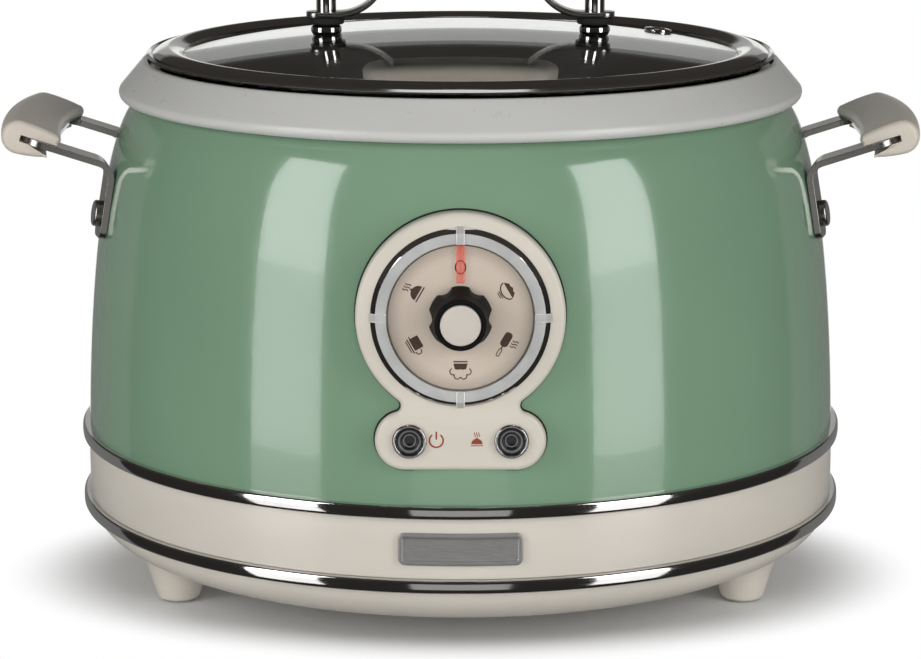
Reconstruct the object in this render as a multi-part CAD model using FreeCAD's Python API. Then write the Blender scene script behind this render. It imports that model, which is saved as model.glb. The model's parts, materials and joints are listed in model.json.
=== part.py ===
import FreeCAD, Part
import math
import os

from FreeCAD import Placement, Rotation, Vector

# Round slow cooker, in millimetres. +Z is up, and the controls face -Y.
# Every solid is built from the sizes below about the upright axis of the body, with the table at 0.
# At the end the whole cooker moves back a little, so that the origin is under the middle of its outline.

# Clearances
seat_gap = 0.10          # between fixed pieces that seat on a curved face
hole_gap = 0.05          # radial, round a fixed pin or screw
run_gap = 0.08           # radial, round a turning shaft or a sliding stem
rest_gap = 0.30          # under a piece that lifts off
fit_gap = 0.30           # each side, round a fixed piece in a window

# Base stack, from the table up
foot_height = 12.5       # table to the underside of the pan
pan_depth = 18.8
ring_height = 6.0
band_height = 22.2
shell_height = 131.5

# Radii, from the mouth of the collar outwards
collar_mouth_radius = 125.6
collar_wall = 4.4        # top of the shell, out from the mouth of the collar
shell_swell = 21.85      # foot of the shell, out from its top
band_step = 0.35         # band, out from the foot of the shell
band_wall = 2.4
band_flange_reach = 14.0
band_flange_thickness = 3.0
ring_proud = 2.8
ring_bite = 2.0
ring_edge_round = 1.2

# Base pan and feet
pan_wall = 2.5
pan_round_reach = 46.0   # how far in the rounded side runs
foot_inset = 26.61       # middle of a foot, in from the edge of the pan
foot_angle_deg = 24.711  # either side of the cooker's long axis
foot_end_radius = 8.5
foot_draft_deg = 24.0
pad_radius = 6.8
pad_thickness = 2.4
pad_depth = 1.2          # how deep the pad is let into the foot
vent_count = 12
vent_width = 4.0
vent_length = 26.0
vent_circle_radius = 72.0

# Screws that clamp pan, band and shell
clamp_count = 4
clamp_inset = 11.2       # in from the face of the band
clamp_boss_radius = 5.0
clamp_shank_radius = 1.9
clamp_head_radius = 3.5
clamp_head_height = 2.6
clamp_head_rise = 12.0   # how far the head sits up inside its boss
clamp_tail = 1.0         # shank past the nut
nut_radius = 3.8
nut_height = 3.0

# Outer shell
shell_wall = 1.0
shell_lip_reach = 16.0
shell_top_lip = 6.0
wall_rise = 15.0         # straight reach of the wall above its foot
shoulder_in = 2.75       # where the shoulder starts to turn, in from the wall
shoulder_drop = 16.3     # and down from the top

# Top collar
collar_height = 15.0     # above the top of the shell
collar_skirt = 2.0       # below the top of the shell
collar_top_width = 2.1
collar_bulge = 7.4       # fullest place, out from the top of the shell
collar_bulge_drop = 11.6
collar_slope_drop = 6.9  # height of the sloping face
collar_foot_in = 2.8     # lower edge, in from the bulge
collar_bore_gap = 1.0    # round the liner
ledge_drop = 3.5         # ledge for the liner, down from the top

# Pot liner
liner_room = 4.7         # round the mouth of the pot
liner_wall = 0.8
liner_drop = 12.6        # underside of its floor, below the heating plate
liner_floor = 1.0
liner_flange_reach = 3.2
liner_hole_radius = 45.0

# Cooking pot
pot_height = 119.2       # underside to the underside of the flange
pot_wall = 1.3
pot_set_in = 9.3         # mouth, in from the mouth of the collar
pot_taper = 3.3          # floor, in from the mouth
pot_corner = 13.0
pot_flange_reach = 8.6   # out from the mouth
pot_lip_out = 1.5
pot_lip_up = 1.6
pot_flange_gap = 0.6     # flange above the collar
pot_neck_round = 3.0

# Heating plate and element
plate_radius = 90.0
plate_thickness = 6.0
plate_hole_gap = 1.5     # round the sensor
plate_chamfer = 2.0
rib_post_gap = 8.0       # rib, in from the middle of the posts
rib_width = 16.0
rib_depth = 6.7
element_tube_radius = 4.0
element_turn_deg = 320.0
element_pin_radius = 2.0
element_pin_length = 12.0
element_hole_gap = 2.0   # round a pin, in the floor of the liner
post_count = 3
post_inset = 10.0        # in from the edge of the plate
post_radius = 3.5
stud_radius = 2.0
stud_tail = 7.0
stud_bite = 4.0

# Sensor under the pot
sensor_radius = 15.5
sensor_top = 1.5
sensor_skirt = 8.7
sensor_stem_radius = 4.0
sensor_stem_length = 26.7
housing_radius = 21.5
housing_wall = 1.5
housing_depth = 16.7
housing_flange_radius = 28.0
guide_height = 4.5
guide_wall = 2.0
spring_radius = 9.5
spring_wire = 1.3
spring_turns = 5
spring_end_gap = 0.3

# Thermal fuse
fuse_radius = 2.5
fuse_length = 14.0
fuse_inset = 14.0        # in from the rib
clip_wall = 0.8
clip_width = 6.0
clip_tab = 5.0

# Side handles
rivet_drop = 43.2        # below the top of the shell
arm_half_spacing = 38.0
arm_width = 12.0
bracket_thickness = 2.5
arm_slope_deg = 17.5
grip_stand_off = 20.15   # middle of the grip, out from the foot of the shell
grip_drop = 12.6         # and below the top of the shell
crossbar_width = 12.0
crossbar_out = 1.0       # outer edge of the crossbar, out from grip_reach
crossbar_corner = 9.0
crossbar_inner_corner = 5.0
leg_below = 9.5          # leg below the rivet
leg_corner = 3.0
bend_inner_radius = 5.0
rivet_head_radius = 5.2
rivet_head_height = 3.0
rivet_shank_radius = 2.4
rivet_tail_radius = 3.6
rivet_tail_height = 1.2

# Side grips
grip_half_length = 46.0
grip_nose = 12.0         # outer end, out from grip_reach
grip_half_height = 6.8
grip_jaw = 11.5          # upper jaw, in from grip_reach
grip_lower_jaw = 7.0
grip_end_shift = 3.6     # both edges move in by this much at the ends
grip_land = 3.0          # lower seat of the crossbar
grip_mouth_drop = 3.4

# Control panel
dial_rise = 69.9         # middle of the dial, above the foot of the shell
fascia_proud = 3.6
panel_tilt_deg = 2.5
fascia_radius = 38.4
bar_width = 62.8
bar_height = 22.0
bar_overlap = 3.6        # how far the bar reaches into the disc
neck_round = 2.5
fascia_edge_round = 1.4
fascia_reach = 30.0
window_inset = 5.0
plug_depth = 8.0
fascia_skin = 4.5
fascia_wall = 2.4

# Dial
dial_radius = 26.5
dial_gap = 0.5
dial_back = 1.3
dial_rim_front = 0.7
dial_rim_width = 0.9
dial_face_front = 0.35
pocket_depth = 2.0
dial_ring_width = 5.9
dial_ring_height = 2.2
dial_ring_bevel = 2.2
dial_ring_edge = 0.4
bridge_width = 3.4
bridge_rise = 0.5
cursor_width = 2.9
cursor_thickness = 0.6
cursor_front = 1.9
cursor_bite = 1.2
cursor_knob_gap = 1.0

# Knob and shaft
shaft_radius = 3.0
shaft_front = 14.4
shaft_foot = 1.9         # end of the shaft, in front of the board
knob_base_radius = 11.75
knob_base_height = 2.1
knob_waist_radius = 9.6
knob_waist_front = 14.5
knob_rim_radius = 9.3
knob_front = 18.4
knob_rim_wall = 1.4
flute_count = 6
flute_radius = 4.2
flute_depth = 1.55
cap_recess = 2.2
cap_front = 19.7
cap_edge_round = 0.6
cap_dome = 0.5

# Lamps
lamp_spacing = 37.3
lamp_lens_radius = 4.85
bezel_wall = 0.75
bezel_flange = 0.8
bezel_height = 1.7
bezel_reach = 6.0
lens_front = 0.6
lens_step_in = 1.0
lens_step_down = 0.7
lens_stalk_radius = 2.5

# Switch and board
board_depth = 22.4       # from the face of the fascia to the face of the board
board_thickness = 1.6
board_width = 52.0
board_top = 26.0
board_bottom = 53.0
switch_width = 24.0
switch_depth = 11.4
switch_chamfer = 3.0
bushing_radius = 5.0
bushing_height = 2.8
boss_radius = 2.6
boss_inset = 10.1        # upper bosses, in from the edge of the disc
boss_lower = 8.0         # sideways, on the lamps' line
board_screw_radius = 1.1
board_screw_length = 7.0
board_screw_end_gap = 0.5
board_screw_head_radius = 2.4
board_screw_head_height = 1.5

# Inlet at the rear
inlet_rise = 24.5        # above the foot of the shell
inlet_width = 29.0
inlet_tall = 22.0
inlet_flange = 3.5
inlet_proud = 3.0
inlet_depth = 20.0
inlet_corner = 4.0
cavity_width = 24.2
cavity_tall = 16.7
cavity_depth = 16.0
pin_width = 4.0
pin_thickness = 2.0
pin_pitch = 7.0
pin_raise = 2.0
pin_set_back = 5.5
pin_tail = 5.0

# Badge plate
badge_width = 46.0
badge_tall = 12.2
badge_corner = 2.5
badge_thickness = 1.5
badge_border = 1.6
badge_recess = 0.5

# Lid
lid_crest_rise = 3.3     # above the flange of the pot
lid_crest_out = 1.1      # crest, out from the mouth of the pot
lid_rim_in = 1.3         # outer edge, in from the flange of the pot
lid_rim_edge = 0.5
lid_rim_reach = 5.1      # inner edge, in from the mouth of the pot
lid_skirt_gap = 0.6      # inside the mouth of the pot
lid_skirt_wall = 1.0
glass_thickness = 4.0
glass_rise = 8.55        # crown above the edge that shows
glass_bite = 3.3         # how far the rim holds the glass
glass_lift = 0.25        # edge that shows, above the seat of the rim
vent_x = 82.0
vent_y = 40.0
vent_flange_radius = 5.8
vent_tube_radius = 3.2
vent_bore_radius = 2.0
vent_flange_height = 1.4
vent_foot = 1.2          # rolled foot, out from the tube

# Lid handle
lid_post_x = 54.0
ferrule_radius = 4.8
ferrule_foot_radius = 6.2
ferrule_height = 4.0
washer_radius = 7.2
washer_height = 2.8
strap_thickness = 2.2
strap_width = 12.0
strap_overhang = 8.0
strap_bend_start = 4.5   # in from the post
strap_lower_bend = 20.0
strap_upper_bend = 8.0
strap_angle_deg = 60.0
strap_rise = 22.0
lid_nut_radius = 4.0
lid_nut_height = 8.5
lid_nut_cap = 2.0        # closed end of the nut
lid_screw_radius = 2.2
lid_screw_head_radius = 4.6
lid_screw_head_height = 2.4
gasket_radius = 6.5
gasket_height = 1.5
lid_grip_length = 84.0
lid_grip_width = 26.0
lid_grip_below = 7.0
lid_grip_above = 9.0
lid_grip_corner = 11.0
lid_grip_round = 5.5

# Heights and radii that follow
lower_ring_z = foot_height + pan_depth
band_z = lower_ring_z + ring_height
upper_ring_z = band_z + band_height
shell_z = upper_ring_z + ring_height
shell_top_z = shell_z + shell_height
collar_top_z = shell_top_z + collar_height
ledge_z = collar_top_z - ledge_drop
dial_height = shell_z + dial_rise
inlet_height = shell_z + inlet_rise
rivet_height = shell_top_z - rivet_drop
grip_height = shell_top_z - grip_drop
shell_top_radius = collar_mouth_radius + collar_wall
shell_radius = shell_top_radius + shell_swell
band_radius = shell_radius + band_step
collar_bulge_radius = shell_top_radius + collar_bulge
clamp_circle_radius = band_radius - clamp_inset
grip_reach = shell_radius + grip_stand_off
ring_radius = band_radius + ring_proud
ring_inner_radius = band_radius - ring_bite
pan_radius = band_radius - ring_edge_round
foot_circle_radius = pan_radius - foot_inset
pot_mouth_radius = collar_mouth_radius - pot_set_in
pot_floor_radius = pot_mouth_radius - pot_taper
pot_flange_radius = pot_mouth_radius + pot_flange_reach
liner_inner_radius = pot_mouth_radius + liner_room
collar_bore = liner_inner_radius + liner_wall + collar_bore_gap
pot_flange_z = collar_top_z + pot_flange_gap
pot_floor_z = pot_flange_z - pot_height
pot_rim_z = pot_flange_z + pot_wall
plate_top_z = pot_floor_z - rest_gap
plate_under_z = plate_top_z - plate_thickness
liner_floor_z = plate_under_z - liner_drop
plate_hole_radius = sensor_radius + plate_hole_gap
post_circle_radius = plate_radius - post_inset
rib_outer_radius = post_circle_radius - rib_post_gap
rib_inner_radius = rib_outer_radius - rib_width
fuse_circle_radius = rib_inner_radius - fuse_inset
element_radius = (rib_inner_radius + rib_outer_radius) / 2
element_z = plate_under_z - rib_depth
lid_seat_z = pot_rim_z + rest_gap
lid_crest_radius = pot_mouth_radius + lid_crest_out
lid_rim_radius = pot_flange_radius - lid_rim_in
lid_rim_inner = pot_mouth_radius - lid_rim_reach
glass_edge_z = lid_seat_z + glass_lift
glass_top_z = glass_edge_z + glass_rise
dome_radius = (lid_rim_inner ** 2 + glass_rise ** 2) / (2 * glass_rise)
dome_centre_z = glass_top_z - dome_radius
bar_drop = fascia_radius + bar_height / 2 - bar_overlap
boss_upper = (fascia_radius - boss_inset) * math.sqrt(0.5)
dial_ring_radius = dial_radius + dial_gap + dial_ring_width

quarter_ellipse = 0.5523  # handle length of a curve that stands for a quarter ellipse


class Outline:
    """A closed outline in one plane, drawn from point to point."""

    def __init__(self, x, y):
        self.first = (x, y)
        self.at = (x, y)
        self.steps = []

    def line(self, x, y):
        self.steps.append(("line", self.at, (x, y)))
        self.at = (x, y)
        return self

    def arc(self, middle, end):
        self.steps.append(("arc", self.at, middle, end))
        self.at = end
        return self

    def curve(self, first_handle, second_handle, end):
        self.steps.append(("curve", self.at, first_handle, second_handle, end))
        self.at = end
        return self

    def wire(self, point):
        """The closed wire, with each pair of numbers put into space by the function point."""
        if math.dist(self.at, self.first) > 1e-7:
            self.line(*self.first)
        edges = []
        for kind, *points in self.steps:
            places = [point(*pair) for pair in points]
            if kind == "line":
                edges.append(Part.LineSegment(*places).toShape())
            elif kind == "arc":
                edges.append(Part.Arc(*places).toShape())
            else:
                bezier = Part.BezierCurve()
                bezier.setPoles(places)
                edges.append(bezier.toShape())
        return Part.Wire(edges)

    def upright(self):
        """The wire in the plane of radius and height."""
        return self.wire(lambda x, y: Vector(x, 0, y))

    def flat(self):
        """The wire in the XY plane."""
        return self.wire(lambda x, y: Vector(x, y, 0))


def revolved(outline):
    """The solid of an upright outline turned once about the Z axis."""
    return Part.Face(outline.upright()).revolve(Vector(0, 0, 0), Vector(0, 0, 1), 360)


def extruded(outline, low, high):
    """The solid of a flat outline between two heights."""
    solid = Part.Face(outline.flat()).extrude(Vector(0, 0, high - low))
    solid.translate(Vector(0, 0, low))
    return solid


def cylinder(radius, low, high, x=0.0, y=0.0):
    return Part.makeCylinder(radius, high - low, Vector(x, y, low))


def box(low, high):
    sides = [b - a for a, b in zip(low, high)]
    return Part.makeBox(*sides, Vector(*low))


def rounded_rectangle(width, tall, corner):
    """A flat outline centred on the origin, with round corners."""
    x, y = width / 2, tall / 2
    bend = corner * (1 - math.sqrt(0.5))
    shape = Outline(-x + corner, -y).line(x - corner, -y)
    shape.arc((x - bend, -y + bend), (x, -y + corner)).line(x, y - corner)
    shape.arc((x - bend, y - bend), (x - corner, y)).line(-x + corner, y)
    shape.arc((-x + bend, y - bend), (-x, y - corner)).line(-x, -y + corner)
    return shape.arc((-x + bend, -y + bend), (-x + corner, -y))


def frame(origin, x_axis, y_axis, z_axis):
    """The placement that carries a piece's own axes to these axes at this origin."""
    return Placement(Vector(*origin), Rotation(Vector(*x_axis), Vector(*y_axis), Vector(*z_axis), "ZXY"))


def placed(shape, place):
    moved = shape.copy()
    moved.Placement = place.multiply(moved.Placement)
    return moved


def turned(shape, degrees):
    """A copy turned about the Z axis."""
    moved = shape.copy()
    moved.rotate(Vector(0, 0, 0), Vector(0, 0, 1), degrees)
    return moved


def mirrored(shape):
    """The same piece on the other side of the cooker."""
    return shape.mirror(Vector(0, 0, 0), Vector(1, 0, 0))


def ring_of(count, start_deg=0.0):
    """Angles of an even circular pattern, in degrees."""
    return [start_deg + 360.0 * index / count for index in range(count)]


def on_circle(radius, degrees):
    angle = math.radians(degrees)
    return radius * math.cos(angle), radius * math.sin(angle)


def edges_where(shape, test):
    """The edges whose middle point passes the test."""
    found = []
    for edge in shape.Edges:
        middle = edge.valueAt((edge.FirstParameter + edge.LastParameter) / 2)
        if test(edge, middle):
            found.append(edge)
    return found


# The wall of the shell, which many pieces seat on

def wall_poles(offset=0.0):
    """The four poles of the wall's curve, moved out by offset."""
    return [
        (shell_radius + offset, shell_z),
        (shell_radius + offset, shell_z + wall_rise),
        (shell_radius - shoulder_in + offset, shell_top_z - shoulder_drop),
        (shell_top_radius + offset, shell_top_z),
    ]


def wall_point(along):
    """Radius and height on the wall's curve, for a share of the way up."""
    back = 1 - along
    weights = (back ** 3, 3 * along * back ** 2, 3 * along ** 2 * back, along ** 3)
    poles = wall_poles()
    return [sum(w * pole[axis] for w, pole in zip(weights, poles)) for axis in (0, 1)]


def wall_radius(z):
    """Radius of the wall at a height."""
    low, high = 0.0, 1.0
    for _ in range(60):
        middle = (low + high) / 2
        if wall_point(middle)[1] < z:
            low = middle
        else:
            high = middle
    return wall_point(low)[0]


def wall_lean(z):
    """Angle by which the wall's outward direction points up at a height."""
    step = 0.01
    return math.atan2(wall_radius(z - step) - wall_radius(z + step), 2 * step)


def wall_core(offset):
    """Everything inside the wall's outer face, moved out by offset."""
    first, second, third, last = wall_poles(offset)
    core = Outline(0, shell_z).line(*first).curve(second, third, last).line(0, shell_top_z)
    return revolved(core)


def band_core(offset):
    """Everything inside the band's outer face, moved out by offset."""
    return cylinder(band_radius + offset, band_z, upper_ring_z)


# Base stack

def pan_curve(inset):
    """Start, handles and end of the pan's rounded side, moved in by inset."""
    reach, drop = pan_round_reach - inset, pan_depth - inset
    top, bottom = pan_radius - inset, foot_height + inset
    start = (top, lower_ring_z)
    handles = (top, lower_ring_z - quarter_ellipse * drop), (top - reach + quarter_ellipse * reach, bottom)
    return start, handles, (top - reach, bottom)


def pan_core():
    """Everything inside the pan's outer face."""
    start, handles, end = pan_curve(0)
    return revolved(Outline(0, lower_ring_z).line(*start).curve(*handles, end).line(0, foot_height))


def foot_places():
    x, y = on_circle(foot_circle_radius, foot_angle_deg)
    return [(side * x, depth * y) for side in (-1, 1) for depth in (-1, 1)]


def clamp_places():
    return [on_circle(clamp_circle_radius, angle) for angle in ring_of(clamp_count, 45.0)]


def make_base_pan():
    start, handles, end = pan_curve(0)
    in_start, in_handles, in_end = pan_curve(pan_wall)
    section = Outline(0, foot_height).line(*end).curve(handles[1], handles[0], start)
    section.line(*in_start).curve(*in_handles, in_end).line(0, foot_height + pan_wall)
    pan = revolved(section)
    hollow = revolved(Outline(0, lower_ring_z).line(*in_start).curve(*in_handles, in_end)
                      .line(0, foot_height + pan_wall))
    foot_end = pad_thickness - pad_depth
    foot_top = foot_height + pan_depth
    foot_top_radius = foot_end_radius + (foot_top - foot_end) * math.tan(math.radians(foot_draft_deg))
    feet = []
    for x, y in foot_places():
        cone = Part.makeCone(foot_end_radius, foot_top_radius, foot_top - foot_end, Vector(x, y, foot_end))
        feet.append(cone.common(cylinder(pan_radius, 0, foot_top)))
    pan = pan.multiFuse([foot.cut(hollow) for foot in feet])
    bosses = [cylinder(clamp_boss_radius, foot_height, upper_ring_z - band_flange_thickness, x, y)
              for x, y in clamp_places()]
    outside = cylinder(2 * ring_radius, 0, lower_ring_z).cut(pan_core())
    pan = pan.multiFuse([boss.cut(outside) for boss in bosses])
    cuts = [cylinder(pad_radius + hole_gap, 0, pad_thickness, x, y) for x, y in foot_places()]
    head_z = upper_ring_z - band_flange_thickness - clamp_head_rise
    for x, y in clamp_places():
        cuts.append(cylinder(clamp_shank_radius + hole_gap, 0, upper_ring_z, x, y))
        cuts.append(cylinder(clamp_head_radius + hole_gap, 0, head_z, x, y))
    slot = extruded(rounded_rectangle(vent_length, vent_width, vent_width / 2 - hole_gap),
                    foot_height - pan_wall, foot_height + 2 * pan_wall)
    slot.translate(Vector(vent_circle_radius, 0, 0))
    cuts += [turned(slot, angle) for angle in ring_of(vent_count)]
    return pan.cut(Part.makeCompound(cuts)).removeSplitter()


def make_foot_pads():
    return [cylinder(pad_radius, 0, pad_thickness, x, y) for x, y in foot_places()]


def make_trim_ring(low):
    """A polished ring with a flat ledge, a slightly bowed face and soft edges."""
    high = low + ring_height
    edge = ring_edge_round
    near_edge = ring_radius - edge * 0.3
    section = Outline(ring_inner_radius, low).line(ring_radius - edge, low)
    section.arc((near_edge, low + edge * 0.3), (ring_radius - edge * 0.15, low + edge))
    section.arc((ring_radius, (low + high) / 2), (ring_radius - edge * 0.15, high - edge))
    section.arc((near_edge, high - edge * 0.3), (ring_radius - edge, high))
    return revolved(section.line(ring_inner_radius, high))


def make_base_band():
    inner = band_radius - band_wall
    flange_inner = inner - band_flange_reach
    flange_z = upper_ring_z - band_flange_thickness
    section = Outline(inner, band_z).line(band_radius, band_z).line(band_radius, upper_ring_z)
    section.line(flange_inner, upper_ring_z).line(flange_inner, flange_z).line(inner, flange_z)
    band = revolved(section)
    bosses = [cylinder(clamp_boss_radius, flange_z, shell_z, x, y) for x, y in clamp_places()]
    holes = [cylinder(clamp_shank_radius + hole_gap, band_z, shell_z, x, y) for x, y in clamp_places()]
    return band.multiFuse(bosses).cut(Part.makeCompound(holes)).removeSplitter()


def make_base_screws():
    head_top = upper_ring_z - band_flange_thickness - clamp_head_rise
    tip = shell_z + shell_wall + nut_height + clamp_tail
    screws = []
    for x, y in clamp_places():
        head = cylinder(clamp_head_radius, head_top - clamp_head_height, head_top, x, y)
        screws.append(head.fuse(cylinder(clamp_shank_radius, head_top, tip, x, y)))
    return screws


def hexagon(radius, low, high, x, y):
    corners = [on_circle(radius, angle) for angle in ring_of(6)]
    shape = Outline(*corners[0])
    for corner in corners[1:]:
        shape.line(*corner)
    prism = extruded(shape, low, high)
    prism.translate(Vector(x, y, 0))
    return prism


def make_base_nuts():
    low = shell_z + shell_wall
    return [hexagon(nut_radius, low, low + nut_height, x, y)
            .cut(cylinder(clamp_shank_radius + hole_gap, low, low + nut_height, x, y))
            for x, y in clamp_places()]


def make_badge_plate():
    """A bare polished plate that follows the band, with a raised border."""
    front = frame((0, 0, band_z + band_height / 2), (1, 0, 0), (0, 0, 1), (0, -1, 0))
    outline = rounded_rectangle(badge_width, badge_tall, badge_corner)
    field = rounded_rectangle(badge_width - 2 * badge_border, badge_tall - 2 * badge_border,
                              badge_corner - badge_border / 2)
    block = placed(extruded(outline, 0, ring_radius), front)
    panel = placed(extruded(field, 0, ring_radius), front)
    skin = band_core(seat_gap + badge_thickness).cut(band_core(seat_gap))
    raised = band_core(seat_gap + badge_thickness).cut(band_core(seat_gap + badge_thickness - badge_recess))
    return skin.common(block).cut(raised.common(panel))


# Shell, collar and liner

def make_outer_shell():
    first, second, third, last = wall_poles()
    lean_in = math.atan2(third[0] - last[0], last[1] - third[1])
    top_normal = (math.cos(lean_in), math.sin(lean_in))
    inner_last = (last[0] - shell_wall * top_normal[0], last[1] - shell_wall * top_normal[1])
    inner_third = (third[0] - shell_wall, third[1] - shell_wall * top_normal[1] / 2)
    inner_second = (second[0] - shell_wall, second[1])
    inner_first = (first[0] - shell_wall, first[1] + shell_wall)
    lip, top_lip = shell_radius - shell_lip_reach, shell_top_radius - shell_top_lip
    section = Outline(lip, shell_z).line(*first).curve(second, third, last)
    section.line(top_lip, shell_top_z).line(top_lip, shell_top_z - shell_wall)
    section.line(*inner_last).curve(inner_third, inner_second, inner_first)
    shell = revolved(section.line(lip, shell_z + shell_wall))
    cuts = [cylinder(clamp_shank_radius + hole_gap, shell_z, shell_z + shell_wall, x, y)
            for x, y in clamp_places()]
    cuts.append(placed(keyhole(window_inset, -fascia_reach - plug_depth, fascia_reach), panel_frame()))
    cuts.append(placed(inlet_block(inlet_width + 2 * fit_gap, inlet_tall + 2 * fit_gap,
                                   -inlet_depth, 0), inlet_frame()))
    hole = cylinder(rivet_shank_radius + hole_gap, -2 * rivet_head_radius, 2 * rivet_head_radius)
    for side in (-1, 1):
        right_hole = placed(hole, leg_frame(side))
        cuts += [right_hole, mirrored(right_hole)]
    return shell.cut(Part.makeCompound(cuts))


def make_top_collar():
    skirt_z = shell_top_z - collar_skirt
    bulge_z = collar_top_z - collar_bulge_drop
    top_out = collar_mouth_radius + collar_top_width
    slope_end = (top_out + collar_slope_drop, collar_top_z - collar_slope_drop)
    foot = (collar_bulge_radius - collar_foot_in, skirt_z)
    section = Outline(collar_mouth_radius, collar_top_z).line(top_out, collar_top_z).line(*slope_end)
    section.arc((collar_bulge_radius, bulge_z), foot)
    section.line(wall_radius(skirt_z) + seat_gap, skirt_z)
    section.line(shell_top_radius + seat_gap, shell_top_z).line(collar_bore, shell_top_z)
    section.line(collar_bore, ledge_z).line(collar_mouth_radius, ledge_z)
    return revolved(section)


def make_pot_liner():
    outer = liner_inner_radius + liner_wall
    flange = outer + liner_flange_reach
    floor_top = liner_floor_z + liner_floor
    section = Outline(liner_hole_radius, liner_floor_z).line(outer, liner_floor_z).line(outer, ledge_z)
    section.line(flange, ledge_z).line(flange, ledge_z + liner_wall)
    section.line(liner_inner_radius, ledge_z + liner_wall)
    section.line(liner_inner_radius, floor_top).line(liner_hole_radius, floor_top)
    liner = revolved(section)
    holes = [cylinder(stud_radius + hole_gap, liner_floor_z, floor_top, x, y) for x, y in post_places()]
    holes += [cylinder(element_pin_radius + element_hole_gap, liner_floor_z, floor_top, x, y)
              for x, y in element_pin_places()]
    return liner.cut(Part.makeCompound(holes))


# Cooking pot

def make_cooking_pot():
    """One drawn sheet: flat floor, round corner, slightly tapered wall, rolled flange with a lip."""
    top_out, floor_out = pot_mouth_radius + pot_wall, pot_floor_radius + pot_wall
    low, high = pot_floor_z, pot_flange_z
    corner_out, corner_in = pot_corner, pot_corner - pot_wall
    bend = 1 - math.sqrt(0.5)
    neck = pot_neck_round
    lip = (pot_flange_radius + pot_lip_out, high + pot_lip_up)
    section = Outline(0, low).line(floor_out - corner_out, low)
    section.arc((floor_out - corner_out * bend, low + corner_out * bend), (floor_out, low + corner_out))
    section.line(top_out, high - neck)
    section.arc((top_out + neck * bend, high - neck * bend), (top_out + neck, high))
    section.line(pot_flange_radius, high).line(*lip)
    section.line(lip[0] - pot_wall * 0.75, lip[1] + pot_wall * 0.6)
    section.line(pot_flange_radius - pot_wall * 0.4, pot_rim_z)
    section.line(top_out + neck, pot_rim_z)
    outer_neck = neck + pot_wall
    section.arc((pot_mouth_radius + outer_neck * bend, pot_rim_z - outer_neck * bend),
                (pot_mouth_radius, high - neck))
    section.line(pot_floor_radius, low + corner_out)
    section.arc((pot_floor_radius - corner_in * bend, low + pot_wall + corner_in * bend),
                (pot_floor_radius - corner_in, low + pot_wall))
    return revolved(section.line(0, low + pot_wall))


# Heating plate, element and sensor

def post_places():
    return [on_circle(post_circle_radius, angle) for angle in ring_of(post_count, 90.0)]


def make_heating_plate():
    section = Outline(plate_hole_radius, plate_under_z).line(rib_inner_radius, plate_under_z)
    section.line(rib_inner_radius, element_z).line(rib_outer_radius, element_z)
    section.line(rib_outer_radius, plate_under_z).line(plate_radius - plate_chamfer, plate_under_z)
    section.line(plate_radius, plate_under_z + plate_chamfer)
    section.line(plate_radius, plate_top_z - plate_chamfer / 2)
    section.line(plate_radius - plate_chamfer / 2, plate_top_z).line(plate_hole_radius, plate_top_z)
    plate = revolved(section)
    groove = Part.makeTorus(element_radius, element_tube_radius + fit_gap, Vector(0, 0, element_z))
    sockets = [cylinder(stud_radius + hole_gap, plate_under_z, plate_under_z + stud_bite + rest_gap, x, y)
               for x, y in post_places()]
    return plate.cut(Part.makeCompound([groove] + sockets))


def element_start_deg():
    """Where the tube starts, so that its gap is at the rear."""
    return 90 + (360 - element_turn_deg) / 2


def element_pin_places():
    """The two pins, just in from the ends of the tube."""
    inset = math.degrees(2 * element_pin_radius / element_radius)
    start = element_start_deg()
    return [on_circle(element_radius, start + angle) for angle in (inset, element_turn_deg - inset)]


def make_heating_element():
    tube = Part.makeTorus(element_radius, element_tube_radius, Vector(0, 0, element_z), Vector(0, 0, 1),
                          0, 360, element_turn_deg)
    low = element_z - element_tube_radius - element_pin_length
    pins = [cylinder(element_pin_radius, low, element_z, x, y) for x, y in element_pin_places()]
    return turned(tube, element_start_deg()).multiFuse(pins)


def make_plate_posts():
    floor_top = liner_floor_z + liner_floor
    posts = []
    for x, y in post_places():
        shank = cylinder(stud_radius, liner_floor_z - stud_tail, plate_under_z + stud_bite, x, y)
        posts.append(shank.fuse(cylinder(post_radius, floor_top, plate_under_z, x, y)))
    return posts


def make_post_nuts():
    low = liner_floor_z - nut_height
    return [hexagon(nut_radius, low, liner_floor_z, x, y)
            .cut(cylinder(stud_radius + hole_gap, low, liner_floor_z, x, y)) for x, y in post_places()]


def make_sensor_cap():
    """A flat-topped button with a short skirt and a guide stem."""
    under, low = plate_top_z - sensor_top, plate_top_z - sensor_stem_length
    section = Outline(0, low).line(sensor_stem_radius, low)
    section.line(sensor_stem_radius, under).line(sensor_radius - sensor_top, under)
    section.line(sensor_radius - sensor_top, plate_top_z - sensor_skirt)
    section.line(sensor_radius, plate_top_z - sensor_skirt).line(sensor_radius, plate_top_z - sensor_top / 2)
    section.line(sensor_radius - sensor_top / 2, plate_top_z).line(0, plate_top_z)
    return revolved(section)


def make_sensor_housing():
    floor_z = plate_under_z - housing_depth
    bore = sensor_stem_radius + run_gap
    inner = housing_radius - housing_wall
    section = Outline(bore, floor_z).line(housing_radius, floor_z)
    section.line(housing_radius, plate_under_z - housing_wall)
    section.line(housing_flange_radius, plate_under_z - housing_wall)
    section.line(housing_flange_radius, plate_under_z).line(inner, plate_under_z)
    section.line(inner, floor_z + housing_wall).line(bore + guide_wall, floor_z + housing_wall)
    section.line(bore + guide_wall, floor_z + housing_wall + guide_height)
    return revolved(section.line(bore, floor_z + housing_wall + guide_height))


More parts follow.
